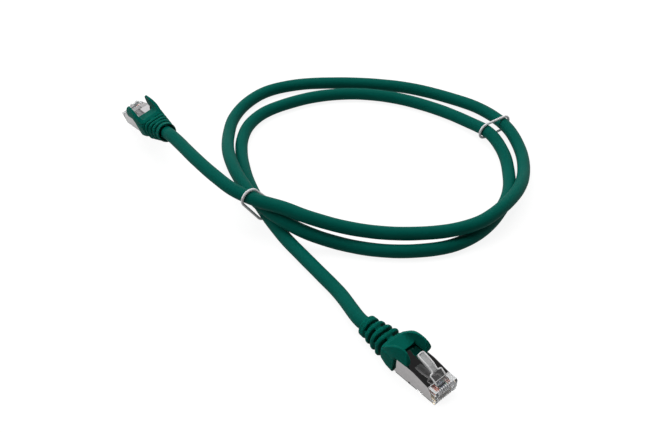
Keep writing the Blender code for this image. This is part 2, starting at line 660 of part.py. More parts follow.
def cable_line(frame_a, frame_b, count):
    """From inside boot B, along the route, to inside boot A."""
    inside = [-JACKET_END, -(JACKET_END + BOOT_REAR) / 2, -BOOT_REAR, -BOOT_REAR - STRAIGHT_EXIT]
    start = [np.array(frame_b @ Vector((x, 0, CABLE_AXIS))) for x in inside]
    end = [np.array(frame_a @ Vector((x, 0, CABLE_AXIS))) for x in reversed(inside)]
    return smooth_line([*start, *(np.array(ROUTE) * MM), *end], count)


def wire_object(name, points, diameter, resolution, colour):
    curve = bpy.data.curves.new(name, "CURVE")
    curve.dimensions = "3D"
    curve.bevel_depth = diameter / 2
    curve.bevel_resolution = resolution
    curve.use_fill_caps = True
    spline = curve.splines.new("POLY")
    spline.points.add(len(points) - 1)
    for spot, point in zip(spline.points, points):
        spot.co = (*point, 1.0)
    curve.materials.append(material(colour))
    bpy.context.scene.collection.objects.link(bpy.data.objects.new(name, curve))


def convex_outline(points):
    """The corners of the tightest closed outline round flat points, anticlockwise."""
    ordered = sorted(map(tuple, points))
    halves = []
    for row in (ordered, ordered[::-1]):
        chain = []
        for p in row:
            while len(chain) > 1:
                (ax, ay), (bx, by) = chain[-2], chain[-1]
                if (bx - ax) * (p[1] - ay) - (by - ay) * (p[0] - ax) > 0:
                    break
                chain.pop()
            chain.append(p)
        halves.append(chain[:-1])
    return np.array(halves[0] + halves[1])


def tie(name, place, line, loop_points=26, twist_points=8):
    """A coated wire once round the strands that cross its plane, with its ends twisted together."""
    (x, y), heading, tail_heading = place
    centre = np.array((x, y, 0.0))
    normal = np.array((math.cos(math.radians(heading)), math.sin(math.radians(heading)), 0.0))
    across = np.array((-normal[1], normal[0], 0.0))
    offset = (line - centre) @ normal
    strands = []
    for i in np.nonzero(offset[:-1] * offset[1:] < 0)[0]:
        share = offset[i] / (offset[i] - offset[i + 1])
        point = line[i] + share * (line[i + 1] - line[i])
        lean = abs((line[i + 1] - line[i]) @ normal) / np.linalg.norm(line[i + 1] - line[i])
        if np.linalg.norm(point[:2] - centre[:2]) < 2.5 * CABLE_DIAMETER:
            strands.append(((point - centre) @ across, point[2], lean))
    radius = TIE_DIAMETER / 2
    turns = np.linspace(0, 2 * math.pi, 33)[:-1]
    cloud = []
    for u, z, lean in strands:
        high = CABLE_DIAMETER / 2 + TIE_SLACK + radius
        wide = CABLE_DIAMETER / 2 / lean + TIE_SLACK + radius
        cloud += [(u + wide * math.cos(t), z + high * math.sin(t)) for t in turns]
    outline = convex_outline(cloud)

    # start at the low outer corner, where the tail leaves, and walk round the strands
    corner = np.array((outline[:, 0].max(), outline[:, 1].min()))
    first = np.argmin(np.linalg.norm(outline - corner, axis=1))
    outline = np.roll(outline, -first, axis=0)
    closed = np.vstack([outline, outline[:1]])
    along = np.concatenate([[0.0], np.cumsum(np.linalg.norm(np.diff(closed, axis=0), axis=1))])
    wanted = np.linspace(1.6 * TIE_DIAMETER, along[-1] - 1.6 * TIE_DIAMETER, loop_points)
    loop = [
        centre + np.interp(s, along, closed[:, 0]) * across + (0, 0, np.interp(s, along, closed[:, 1]))
        for s in wanted
    ]

    tail = np.array((math.cos(math.radians(tail_heading)), math.sin(math.radians(tail_heading)), 0.0))
    out = np.array((tail[1], -tail[0], 0.0))
    out *= math.copysign(1, out @ across)
    reach = 1.35 * TIE_DIAMETER
    base = centre + (outline[0, 0] + reach) * across + (0, 0, max(outline[0, 1], 1.15 * TIE_DIAMETER))
    twists = []
    for phase in (0.0, math.pi):
        strand = []
        for k in range(int(TIE_TWISTS * twist_points) + 1):
            turn = 2 * math.pi * k / twist_points + phase
            step = tail * TIE_TAIL * k / (TIE_TWISTS * twist_points)
            around = 0.62 * TIE_DIAMETER * (math.sin(turn) * out - math.cos(turn) * np.array((0, 0, 1.0)))
            strand.append(base + step + around)
        twists.append(strand)
    if loop[0][2] > loop[-1][2]:
        loop.reverse()
    lower, upper = twists
    wire_object(name, [*lower[::-1], *loop, *upper], TIE_DIAMETER, 1, "tie")


clear_scene()
CONTACT_MESH = contact_mesh()
FRAME_A = plug("_a", PLUG_A, CONTACT_MESH)
FRAME_B = plug("_b", PLUG_B, CONTACT_MESH)
CABLE_LINE = cable_line(FRAME_A, FRAME_B, CABLE_POINTS)
wire_object("cable_jacket", CABLE_LINE, CABLE_DIAMETER, 3, "jacket")
tie("tie_left", TIE_LEFT, CABLE_LINE)
tie("tie_right", TIE_RIGHT, CABLE_LINE)
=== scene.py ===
"""Looks of the shielded network patch cable: finish of every piece, smooth cable, moulded boots.

Metres, +Z up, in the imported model's frame. Plug pieces are drawn in millimetres in the plug's own
frame, as in the source of the solids: X runs to the nose, Y is its left and Z its latch side.
"""

import json
import math

import bmesh
import bpy
import numpy as np
from mathutils import Matrix, Vector


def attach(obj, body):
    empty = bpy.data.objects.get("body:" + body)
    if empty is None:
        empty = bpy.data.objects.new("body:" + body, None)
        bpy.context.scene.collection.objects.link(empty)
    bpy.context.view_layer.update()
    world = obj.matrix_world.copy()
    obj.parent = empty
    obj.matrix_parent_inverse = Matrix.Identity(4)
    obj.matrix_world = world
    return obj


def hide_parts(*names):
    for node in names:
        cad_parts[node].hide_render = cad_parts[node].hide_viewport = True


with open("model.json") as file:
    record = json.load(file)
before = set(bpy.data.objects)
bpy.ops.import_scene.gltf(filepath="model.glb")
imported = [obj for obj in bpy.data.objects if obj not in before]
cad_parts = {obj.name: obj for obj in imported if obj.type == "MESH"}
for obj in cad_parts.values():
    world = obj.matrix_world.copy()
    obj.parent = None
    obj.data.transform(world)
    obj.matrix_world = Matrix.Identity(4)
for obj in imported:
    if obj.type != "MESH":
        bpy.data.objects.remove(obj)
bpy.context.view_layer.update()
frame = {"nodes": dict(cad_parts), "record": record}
RECORD = frame["record"]
MM = 0.001

# ---------------------------------------------------------------- sizes, as in the solids

# Cable and ties, metres
CABLE_DIAMETER = 0.0062
CABLE_STEPS, CABLE_SIDES = 620, 32
JACKET_LAY, JACKET_LOBES, JACKET_SWELL = 0.055, 4, 0.0045  # how the twisted cores show in it
CURVE_FINENESS = 24  # steps between two given points, before they are evened out
TIE_DIAMETER = 0.00125
TIE_STEPS, TIE_SIDES = 260, 14
TIE_SLACK = 0.0003
TIE_TAIL = 0.008
TIE_TWISTS = 2.0
TIE_REACH = 2.5 * CABLE_DIAMETER  # a tie holds the strands that pass this close to its place
TIE_LOOP_START = 1.6 * TIE_DIAMETER  # how far from the twist's corner the loop begins and ends
TIE_TAIL_OUT = 1.35 * TIE_DIAMETER  # how far outside the loop the twist lies
TIE_TAIL_LOWEST = 1.15 * TIE_DIAMETER
TIE_TWIST_RADIUS = 0.62 * TIE_DIAMETER
TIE_RIDGE_LAY = 0.9  # the length in which the ridge on a tie would go once round it

# Plug, millimetres
GAP = 0.3
FINE = 0.12  # the small gap where soft PVC grips the shell
BEYOND = 2  # how far a cut reaches past what it cuts
CABLE_AXIS = 4.05
NOSE_MOUNT_HEIGHT = 3.97
JACKET_END = 24.2
STRAIGHT_EXIT = 4.0
SHELL_WIDTH = 11.9
SHELL_HEIGHT = 8.21
SHELL_SHEET = 0.3
SHELL_LIP_HEIGHT = 6.63
SHELL_LIP = 4.5
SHELL_CREST = 12.5
SHELL_TOE = 2.0
SHELL_SKIRT = 0.65
SHELL_REAR = 25.4
SHELL_FOLD = 0.4  # radius of the folds along the top
SHELL_CUT_EDGE = 0.06  # rounding of its cut edges
SHELL_LIP_BEAD = 0.2  # radius of the rolled front edge
SHELL_LIP_SUNK = 0.1
SHELL_LIP_STEPS, SHELL_LIP_SIDES = 12, 12
NOTCH_PLACE = 13.9
NOTCH_SIZE = 0.6
# blocks in the notches, painted dark as the shade there
NOTCH_SHADE_LOW = 0.1
NOTCH_SHADE_INSETS = (0.02, 0.5)  # its outer and inner face, from the outside of the plate
WIRE_COUNT = 8
WIRE_PITCH = 1.02
NOSE_TOP = 6.37
NOSE_RIB = 0.45
# side views of the two rows of ribs, over the chamfer and down the leaning front
NOSE_RIB_UPPER = (
    (-1.3, 6.40), (-0.55, 6.40), (0.03, 5.56), (0.03, 4.5), (-0.6, 4.5), (-1.3, 5.8),
)
NOSE_RIB_LOWER = ((-0.7, 0.4), (-0.28, 0.4), (0.0, 2.1), (-0.6, 2.1))
NOSE_WINDOW_X = (-2.7, -1.95)
NOSE_WINDOW_Y = (-2.6, 1.0)
NOSE_WINDOW_Z = (NOSE_TOP - 0.6, NOSE_TOP + 0.02)
LATCH_WIDTH = 3.25
SHOULDER_WIDTH = 6.4
# x, top and underside along the latch, root to tip
LATCH_WIDE = ((-2.3, 7.0, 6.52), (-3.3, 7.4, 6.52), (-4.6, 8.35, 7.4), (-6.8, 9.7, 8.5))
LATCH_NARROW = (
    (-6.9, 9.76, 8.56), (-8.7, 10.95, 9.8), (-8.9, 11.25, 9.85), (-14.7, 12.95, 11.85),
    (-15.2, 12.8, 12.05),
)
LATCH_ROUND = 0.12
LATCH_RIM = 0.42  # width of the bright rim round the latch
LATCH_RIM_RADIUS = 0.3
LATCH_RIM_EASE = 0.35  # how far from a corner it starts to turn
LATCH_RIM_SUNK = 0.1
LATCH_RIM_STEPS, LATCH_RIM_SIDES = 140, 10
LATCH_DISH = 0.22  # how far its top is sunk inside the rim
LATCH_DISH_WALL = 0.1
BOOT_FRONT = 22.1
BOOT_REAR = 44.2
BOOT_WALL = 0.65
BOOT_ROOF = 0.39
BOOT_WIDTH = SHELL_WIDTH + 2 * (GAP + BOOT_WALL)
BOOT_CORNER = 1.7
BOOT_HEEL_HALF = 6.6
BOOT_HEEL_TOP = 3.0
BOOT_MID_CORNER = 2.8
BOOT_HEEL_CORNER = 4.6
BOOT_RAKE = 0.09
BOX_TOP = SHELL_HEIGHT + GAP + BOOT_ROOF
BOX_END = 29.4
RING_COUNT = 4
RING_PITCH = 3.3
RING_FIRST = 32.65
RING_HALF = 6.15
RING_DEPTH = 1.0
RING_ROUNDNESS = 0.62  # of the ring next to the box; the last one is round
COLLAR_RADIUS = 4.85
SLOT_WIDTH = 1.4
WEB_WIDTH = 3.0
MOUTH_RADIUS = 4.15
MOUTH_DEPTH = 1.9
MOUTH_LIP = (0.35, 0.2)  # length and width of the flare at its edge
TAIL_EDGE = 0.1  # how far the tail's end is drawn in
BORE_RADIUS = 3.45
EAR_INNER = 4.75
EAR_PROUD = 0.08
EAR_ROUND = 0.5
EAR_FOOT = 1.15  # how far it goes down into the box, from its seat on the shell
EAR_CLEARANCE = GAP + 0.04
SCOOP_FLOOR = 0.25
SCOOP_FILLET = 1.8
# side view of an ear, heights from the top of the box
EAR_OUTLINE = (
    (-29.9, -0.7), (-28.0, 1.0), (-26.2, 2.7), (-24.2, 4.4), (-22.2, 5.6), (-20.3, 6.2),
    (-18.6, 6.2), (-17.2, 5.6), (-16.2, 4.4), (-15.5, 2.9), (-15.3, 1.4), (-15.8, -0.35),
)
# height from the top of the box, and how far an ear's outer face leans in there
EAR_LEAN = ((0.8, 0.0), (2.1, 0.12), (3.2, 0.35), (4.3, 0.65), (5.3, 1.0), (6.3, 1.4))
EAR_TUCK = 0.75
EAR_HEEL = 1.2  # how far they draw in to the tail behind
EAR_STEPS, EAR_LEVELS, EAR_CUTS = 44, 14, 9  # fineness of the outline and of the flanks
BOOT_VOXEL = 0.13  # fineness of the moulded surface
SOFTENING = 3  # rounds of smoothing on the moulded edges

# Middle of the cable from the far plug to the near one, as chosen for the solids
ROUTE = (
    (-0.0432, 0.0443, 0.0196), (-0.0342, 0.0318, 0.0202), (-0.0242, 0.0203, 0.0196),
    (-0.0142, 0.0113, 0.0184), (-0.0032, 0.0053, 0.0177), (0.0078, 0.0015, 0.0171),
    (0.0193, -0.0022, 0.0150), (0.0353, -0.0047, 0.0116), (0.0513, -0.0055, 0.0094),
    (0.0673, -0.0052, 0.0089), (0.0833, -0.0032, 0.0094), (0.0963, 0.0018, 0.0101),
    (0.1073, 0.0118, 0.0103), (0.1168, 0.0263, 0.0088), (0.1221, 0.0433, 0.0058),
    (0.1231, 0.0618, 0.0044), (0.1185, 0.0791, 0.0052), (0.1072, 0.0958, 0.0041),
    (0.0913, 0.1070, 0.0032), (0.0715, 0.1151, 0.0032), (0.0511, 0.1187, 0.0032),
    (0.0294, 0.1192, 0.0032), (0.0099, 0.1168, 0.0032), (-0.0059, 0.1099, 0.0032),
    (-0.0158, 0.0986, 0.0032), (-0.0212, 0.0858, 0.0032), (-0.0225, 0.0713, 0.0043),
    (-0.0214, 0.0551, 0.0070), (-0.0178, 0.0402, 0.0093), (-0.0123, 0.0263, 0.0106),
    (-0.0039, 0.0116, 0.0111), (0.0080, 0.0005, 0.0103), (0.0191, -0.0048, 0.0078),
    (0.0352, -0.0079, 0.0041), (0.0512, -0.0104, 0.0032), (0.0671, -0.0104, 0.0032),
    (0.0834, -0.0067, 0.0032), (0.0968, 0.0023, 0.0032), (0.1068, 0.0153, 0.0032),
    (0.1134, 0.0303, 0.0032), (0.1154, 0.0455, 0.0032), (0.1146, 0.0600, 0.0038),
    (0.1093, 0.0734, 0.0052), (0.0996, 0.0847, 0.0039), (0.0841, 0.0966, 0.0032),
    (0.0635, 0.1059, 0.0032), (0.0423, 0.1093, 0.0032), (0.0230, 0.1067, 0.0032),
    (0.0073, 0.1002, 0.0032), (-0.0059, 0.0910, 0.0032), (-0.0130, 0.0800, 0.0032),
    (-0.0155, 0.0678, 0.0032), (-0.0150, 0.0564, 0.0033), (-0.0130, 0.0451, 0.0037),
    (-0.0096, 0.0326, 0.0043), (-0.0025, 0.0152, 0.0049), (0.0085, -0.0031, 0.0037),
    (0.0167, -0.0142, 0.0033), (0.0249, -0.0252, 0.0032), (0.0333, -0.0372, 0.0036),
)
# Each tie: a point of its plane, the heading of the plane's normal, and the heading of its tail
TIE_LEFT = ((-0.0032, 0.0108), -47.0, -22.0)
TIE_RIGHT = ((0.1133, 0.0798), -55.0, 128.0)

# ---------------------------------------------------------------- camera, floor and light

# A pinhole camera above the table, solved from the photo
FRAME_WIDTH, FOCAL_PIXELS = 650, 961.4
SENSOR = 36.0  # millimetres
CAMERA_PLACE = Vector((0.0266, -0.31555, 0.3003))
CAMERA_TILT = math.radians(42.26)
CAMERA_ROLL = math.radians(0.8)

# Light levels, where 1 is white
FLOOR_ALBEDO = 0.20
FLOOR_SEEN = 1.08
FLOOR_LIGHT = 0.95  # how brightly the lamps and the world light the floor
FLOOR_MIRRORED = 0.47  # how much of the lift its mirror images get
FLOOR_BOUNCED = 0.19  # how much of it the light off the floor gets
FLOOR_HALF = 3.0  # metres, as are the other places here
FLOOR_DROP = 0.00005
WALL_LIGHT = 0.95
FRONT_LIGHT = 0.15
FRONT_FADE = (-0.55, 0.15)  # from the front wall's level to the others', along world Y
CEILING_LIGHT = 0.03
CEILING_FADE = (math.sin(math.radians(20)), math.sin(math.radians(40)))  # between these heights
DIFFUSE_SHARE = 0.8  # how much of the room lights the matt surfaces
ROOM_TINT = (0.97, 0.985, 1.0)
LAMP_TARGET = (0.03, 0.02, 0.0)
# name, place, size and power of the soft lights
LAMPS = (
    ("overhead", (0.0, 0.42, 1.2), (1.4, 1.0), 12.0),
    ("left", (-0.9, -0.1, 0.85), (0.6, 0.6), 4.5),
)


def make_camera():
    data = bpy.data.cameras.new("camera")
    data.sensor_width = SENSOR
    data.lens = FOCAL_PIXELS / FRAME_WIDTH * SENSOR
    data.clip_start = 0.01
    camera = bpy.data.objects.new("camera", data)
    bpy.context.scene.collection.objects.link(camera)
    look = Vector((0, math.cos(CAMERA_TILT), -math.sin(CAMERA_TILT)))
    level_up = Vector((0, math.sin(CAMERA_TILT), math.cos(CAMERA_TILT)))
    level_right = Vector((1, 0, 0))
    right = math.cos(CAMERA_ROLL) * level_right + math.sin(CAMERA_ROLL) * level_up
    up = math.cos(CAMERA_ROLL) * level_up - math.sin(CAMERA_ROLL) * level_right
    axes = Matrix((right, up, -look)).transposed().to_4x4()
    camera.matrix_world = Matrix.Translation(CAMERA_PLACE) @ axes
    bpy.context.scene.camera = camera


def add_node(tree, kind, inputs=(), **settings):
    made = tree.nodes.new(kind)
    for key, value in settings.items():
        setattr(made, key, value)
    for key, value in dict(inputs).items():
        if isinstance(value, bpy.types.NodeSocket):
            tree.links.new(value, made.inputs[key])
        else:
            made.inputs[key].default_value = value
    return made


def make_floor():
    """Pale floor with a faint shadow; the camera and the clear plastic see it lifted to white."""
    half = FLOOR_HALF
    corners = [(-half, -half, 0), (half, -half, 0), (half, half, 0), (-half, half, 0)]
    mesh = bpy.data.meshes.new("floor")
    mesh.from_pydata(corners, [], [(0, 1, 2, 3)])
    floor = bpy.data.objects.new("floor", mesh)
    floor.location.z = -FLOOR_DROP
    bpy.context.scene.collection.objects.link(floor)
    paint = bpy.data.materials.new("floor")
    paint.use_nodes = True
    tree = paint.node_tree
    tree.nodes.clear()
    diffuse = add_node(tree, "ShaderNodeBsdfDiffuse", {"Color": (*(FLOOR_ALBEDO,) * 3, 1.0)})
    glow = add_node(tree, "ShaderNodeEmission", {"Color": (1, 1, 1, 1)})
    seen = add_node(tree, "ShaderNodeLightPath")
    direct = add_node(tree, "ShaderNodeMath", {
        0: seen.outputs["Is Camera Ray"],
        1: seen.outputs["Is Transmission Ray"]}, operation="MAXIMUM")
    mirrored = add_node(tree, "ShaderNodeMath", {
        0: seen.outputs["Is Glossy Ray"], 1: FLOOR_MIRRORED}, operation="MULTIPLY")
    bounced = add_node(tree, "ShaderNodeMath", {
        0: seen.outputs["Is Diffuse Ray"], 1: FLOOR_BOUNCED}, operation="MULTIPLY")
    indirect = add_node(tree, "ShaderNodeMath", {
        0: mirrored.outputs[0], 1: bounced.outputs[0]}, operation="MAXIMUM")
    either = add_node(tree, "ShaderNodeMath", {
        0: direct.outputs[0], 1: indirect.outputs[0]}, operation="MAXIMUM")
    lift = add_node(tree, "ShaderNodeMath", {
        0: either.outputs[0], 1: FLOOR_SEEN - FLOOR_ALBEDO * FLOOR_LIGHT}, operation="MULTIPLY")
    tree.links.new(lift.outputs[0], glow.inputs["Strength"])
    both = add_node(tree, "ShaderNodeAddShader", {0: diffuse.outputs[0], 1: glow.outputs[0]})
    out = add_node(tree, "ShaderNodeOutputMaterial")
    tree.links.new(both.outputs[0], out.inputs["Surface"])
    mesh.materials.append(paint)


def soft_light(name, place, size, power):
    """A lamp that mirrors don't show."""
    data = bpy.data.lights.new(name, "AREA")
    data.shape = "RECTANGLE"
    data.size, data.size_y = size
    data.energy = power
    lamp = bpy.data.objects.new(name, data)
    lamp.location = place
    lamp.rotation_euler = (Vector(LAMP_TARGET) - Vector(place)).to_track_quat("-Z", "Y").to_euler()
    lamp.visible_glossy = False
    bpy.context.scene.collection.objects.link(lamp)


def light_scene():
    """A studio with a bright band low round the horizon, a dim ceiling and soft lights above."""
    world = bpy.data.worlds.new("studio")
    bpy.context.scene.world = world
    world.use_nodes = True
    tree = world.node_tree
    back = tree.nodes["Background"]
    back.inputs["Color"].default_value = (*ROOM_TINT, 1.0)
    where = add_node(tree, "ShaderNodeTexCoord")
    split = add_node(tree, "ShaderNodeSeparateXYZ", {0: where.outputs["Generated"]})
    front = add_node(tree, "ShaderNodeMapRange", {
        "Value": split.outputs[1], "From Min": FRONT_FADE[0], "From Max": FRONT_FADE[1],
        "To Min": FRONT_LIGHT, "To Max": WALL_LIGHT}, interpolation_type="SMOOTHSTEP")
    room = add_node(tree, "ShaderNodeMapRange", {
        "Value": split.outputs[2], "From Min": CEILING_FADE[0], "From Max": CEILING_FADE[1],
        "To Min": front.outputs[0], "To Max": CEILING_LIGHT}, interpolation_type="SMOOTHSTEP")
    seen = add_node(tree, "ShaderNodeLightPath")
    share = add_node(tree, "ShaderNodeMapRange", {
        "Value": seen.outputs["Is Diffuse Ray"], "To Min": 1.0, "To Max": DIFFUSE_SHARE})
    level = add_node(tree, "ShaderNodeMath", {
        0: room.outputs[0], 1: share.outputs[0]}, operation="MULTIPLY")
    strength = add_node(tree, "ShaderNodeMath", {
        0: level.outputs[0], 1: seen.outputs["Is Camera Ray"]}, operation="MAXIMUM")
    tree.links.new(strength.outputs[0], back.inputs["Strength"])
    for lamp in LAMPS:
        soft_light(*lamp)


# ---------------------------------------------------------------- materials

# Colours, linear
JACKET_GREEN, JACKET_SHADE = (0.0006, 0.108, 0.082), (0.0012, 0.122, 0.094)
JACKET_STREAK = (0.0004, 0.088, 0.066)
BOOT_GREEN, BOOT_SHADE = (0.0012, 0.118, 0.088), (0.0020, 0.132, 0.100)
TIE_WHITE, TIE_SHADE = (0.94, 0.93, 0.94), (0.84, 0.81, 0.85)
PLATING, PLATING_CLOUD = (0.68, 0.655, 0.655), (0.60, 0.585, 0.59)
CLEAR_HOUSING = (0.82, 0.83, 0.84)
CLEAR_ARM, CLEAR_ROOT = (0.94, 0.94, 0.945), (0.90, 0.905, 0.91)
# the latch's rim is painted near white: a painted highlight on its clear edges
RIM_HIGHLIGHT_WHITE, FROSTED_RIB = (0.985, 0.985, 0.99), (0.93, 0.93, 0.94)
# pale paint for the shell's rolled lip: a painted highlight along it
LIP_HIGHLIGHT = (0.86, 0.85, 0.85)
# near black for painted shade: in the nose's recess and the shell's notches
HOLLOW_SHADE = (0.03, 0.03, 0.035)
# each pair's coloured wire and the ground of its paler partner
INSULATION = {
    "orange": ((0.90, 0.12, 0.01), (0.88, 0.24, 0.09)),
    "green": ((0.14, 0.30, 0.19), (0.64, 0.69, 0.68)),
    "blue": ((0.08, 0.15, 0.36), (0.60, 0.66, 0.76)),
    "brown": ((0.34, 0.06, 0.02), (0.60, 0.26, 0.18)),
}
POLYCARBONATE = 1.585  # index of refraction


def new_material(name, colour, roughness, metallic=0.0):
    made = bpy.data.materials.new(name)
    made.use_nodes = True
    tree = made.node_tree
    shader = tree.nodes["Principled BSDF"]
    shader.inputs["Base Color"].default_value = (*colour, 1.0)
    shader.inputs["Roughness"].default_value = roughness
    shader.inputs["Metallic"].default_value = metallic
    return made, tree, shader


def millimetres(tree):
    """The place on the piece, in millimetres."""
    where = add_node(tree, "ShaderNodeTexCoord")
    return add_node(tree, "ShaderNodeMapping", {
        "Vector": where.outputs["Object"], "Scale": (1 / MM,) * 3}).outputs[0]


def noise(tree, vector, scale, detail=3.0, rough=0.5):
    return add_node(tree, "ShaderNodeTexNoise", {
        "Vector": vector, "Scale": scale, "Detail": detail, "Roughness": rough}).outputs["Fac"]


def ranged(tree, value, low, high, from_low=0.3, from_high=0.7):
    """The value spread over low to high; most of a noise lies between 0.3 and 0.7."""
    return add_node(tree, "ShaderNodeMapRange", {
        "Value": value, "From Min": from_low, "From Max": from_high,
        "To Min": low, "To Max": high}).outputs[0]


def mix_colour(tree, share, first, second):
    mix = add_node(tree, "ShaderNodeMix", data_type="RGBA")
    for socket, value in ((mix.inputs[0], share), (mix.inputs[6], first), (mix.inputs[7], second)):
        if isinstance(value, bpy.types.NodeSocket):
            tree.links.new(value, socket)
        elif isinstance(value, tuple):
            socket.default_value = (*value, 1.0)
        else:
            socket.default_value = value
    return mix.outputs[2]


def shaded(tree, share, colour, factor):
    """The colour, darkened by the factor as far as share says."""
    return mix_colour(tree, share, colour, tuple(factor * c for c in colour))


def vary(tree, shader, tone, gloss):
    """Drive the base colour and the roughness."""
    tree.links.new(tone, shader.inputs["Base Color"])
    tree.links.new(gloss, shader.inputs["Roughness"])


def let_through(tree, shader, share, tint):
    """Mix the shader with a straight view through it."""
    open_way = add_node(tree, "ShaderNodeBsdfTransparent", {"Color": (*tint, 1.0)})
    mix = add_node(tree, "ShaderNodeMixShader", {
        0: share, 1: shader.outputs[0], 2: open_way.outputs[0]})
    out = next(n for n in tree.nodes if n.type == "OUTPUT_MATERIAL")
    tree.links.new(mix.outputs[0], out.inputs["Surface"])


def bump(tree, shader, height, distance, strength):
    made = add_node(tree, "ShaderNodeBump", {
        "Height": height, "Distance": distance, "Strength": strength})
    tree.links.new(made.outputs[0], shader.inputs["Normal"])
    return made


def moulded_pvc(name, colour, shade, roughness, grain_mm):
    """Satin PVC: slow drifts of shade and gloss, a fine grain, and small scuffs."""
    made, tree, shader = new_material(name, colour, roughness)
    at = millimetres(tree)
    drift = noise(tree, at, 0.12, 2.0)
    mottle = noise(tree, at, 1.4, 4.0)
    grain = noise(tree, at, 1 / grain_mm, 3.0, 0.6)
    tone = mix_colour(tree, ranged(tree, drift, 0.0, 1.0), colour, shade)
    scuff = tuple(0.72 * c for c in colour)
    tone = mix_colour(tree, ranged(tree, mottle, 0.0, 0.35), tone, scuff)
    gloss = ranged(tree, noise(tree, at, 0.5, 4.0, 0.6), roughness - 0.06, roughness + 0.08)
    vary(tree, shader, tone, gloss)
    shader.inputs["Specular IOR Level"].default_value = 0.03
    shader.inputs["Subsurface Weight"].default_value = 0.4
    shader.inputs["Subsurface Radius"].default_value = (0.08, 1.0, 0.75)
    shader.inputs["Subsurface Scale"].default_value = 1.1 * MM
    bump(tree, shader, grain, 0.03 * MM, 0.5)
    return made


def jacket_pvc():
    """Extruded PVC: long faint die lines and the unevenness of the braid below."""
    made, tree, shader = new_material("jacket_green", JACKET_GREEN, 0.46)
    where = add_node(tree, "ShaderNodeTexCoord")
    lines = add_node(tree, "ShaderNodeMapping", {
        "Vector": where.outputs["UV"], "Scale": (6.0, 60.0, 1.0)})
    at = millimetres(tree)
    streak = noise(tree, lines.outputs[0], 1.0, 3.0)
    drift = noise(tree, at, 0.06, 2.0)
    waves = noise(tree, at, 0.55, 2.0)
    grain = noise(tree, at, 9.0, 3.0, 0.6)
    tone = mix_colour(tree, ranged(tree, drift, 0.0, 1.0), JACKET_GREEN, JACKET_SHADE)
    tone = mix_colour(tree, ranged(tree, streak, 0.0, 0.3), tone, JACKET_STREAK)
    gloss = ranged(tree, noise(tree, at, 0.8, 4.0, 0.6), 0.40, 0.54)
    vary(tree, shader, tone, gloss)
    shader.inputs["Specular IOR Level"].default_value = 0.05
    rough = bump(tree, shader, grain, 0.02 * MM, 0.5)
    soft = add_node(tree, "ShaderNodeBump", {
        "Height": waves, "Distance": 0.12 * MM, "Strength": 0.5})
    tree.links.new(soft.outputs[0], rough.inputs["Normal"])
    return made


def tie_coating():
    """White coated wire with a fine ridge along it."""
    made, tree, shader = new_material("tie_white", TIE_WHITE, 0.42)
    where = add_node(tree, "ShaderNodeTexCoord")
    at = millimetres(tree)
    split = add_node(tree, "ShaderNodeSeparateXYZ", {0: where.outputs["UV"]})
    along = add_node(tree, "ShaderNodeMath", {
        0: split.outputs[0], 1: 2 * math.pi / TIE_RIDGE_LAY}, operation="MULTIPLY")
    turned = add_node(tree, "ShaderNodeMath", {
        0: split.outputs[1], 1: 2 * math.pi, 2: along.outputs[0]}, operation="MULTIPLY_ADD")
    wave = add_node(tree, "ShaderNodeMath", {0: turned.outputs[0]}, operation="SINE")
    ridge = ranged(tree, wave.outputs[0], 0.0, 1.0, -1.0, 1.0)
    tone = mix_colour(tree, ranged(tree, noise(tree, at, 1.5, 3.0), 0.0, 0.5), TIE_WHITE, TIE_SHADE)
    gloss = ranged(tree, noise(tree, at, 3.0, 3.0), 0.34, 0.5)
    vary(tree, shader, tone, gloss)
    bump(tree, shader, ridge, 0.03 * MM, 0.4)
    return made


def plated_sheet():
    """Bright plating, faintly clouded and uneven."""
    made, tree, shader = new_material("shell_plated", PLATING, 0.05, 1.0)
    at = millimetres(tree)
    cloud = noise(tree, at, 0.7, 4.0, 0.6)
    tone = mix_colour(tree, ranged(tree, cloud, 0.0, 1.0), PLATING, PLATING_CLOUD)
    gloss = ranged(tree, noise(tree, at, 1.8, 4.0, 0.65), 0.03, 0.08)
    vary(tree, shader, tone, gloss)
    bump(tree, shader, noise(tree, at, 5.0, 3.0), 0.010 * MM, 0.35)
    return made


def clear_plastic(name, tint, roughness, haze, flow=0.35):
    """Clear polycarbonate with faint flow marks; haze is the share of light it scatters."""
    made, tree, shader = new_material(name, tint, roughness)
    at = millimetres(tree)
    tone = shaded(tree, ranged(tree, noise(tree, at, 0.6, 3.0), 0.0, 1.0), tint, 0.96)
    gloss = ranged(tree, noise(tree, at, 1.2, 3.0), max(0.0, roughness - 0.03), roughness + 0.05)
    vary(tree, shader, tone, gloss)
    shader.inputs["IOR"].default_value = POLYCARBONATE
    shader.inputs["Transmission Weight"].default_value = 1.0 - haze
    bump(tree, shader, noise(tree, at, 0.9, 3.0), 0.03 * MM, flow)

    # the lamps shine through it onto what is inside
    seen = add_node(tree, "ShaderNodeLightPath")
    passed = add_node(tree, "ShaderNodeMath", {
        0: seen.outputs["Is Shadow Ray"], 1: 1.0 - haze}, operation="MULTIPLY")
    let_through(tree, shader, passed.outputs[0], tint)
    return made


def thin_web(name, tint, roughness, haze):
    """Clear plastic so thin that it bends no light; haze is the share of light it holds back."""
    made, tree, shader = new_material(name, tint, roughness)
    at = millimetres(tree)
    tone = shaded(tree, ranged(tree, noise(tree, at, 0.6, 3.0), 0.0, 1.0), tint, 0.94)
    gloss = ranged(tree, noise(tree, at, 1.2, 3.0), roughness, roughness + 0.08)
    vary(tree, shader, tone, gloss)
    bump(tree, shader, noise(tree, at, 0.9, 3.0), 0.02 * MM, 0.2)
    let_through(tree, shader, 1.0 - haze, (0.97,) * 3)
    return made


def metal(name, colour, roughness, grain_mm):
    made, tree, shader = new_material(name, colour, roughness, 1.0)
    at = millimetres(tree)
    fine = noise(tree, at, 1 / grain_mm, 3.0)
    tone = shaded(tree, ranged(tree, fine, 0.0, 1.0), colour, 0.82)
    gloss = ranged(tree, noise(tree, at, 1.5, 3.0), roughness - 0.05, roughness + 0.08)
    vary(tree, shader, tone, gloss)
    bump(tree, shader, fine, 0.02 * MM, 0.4)
    return made


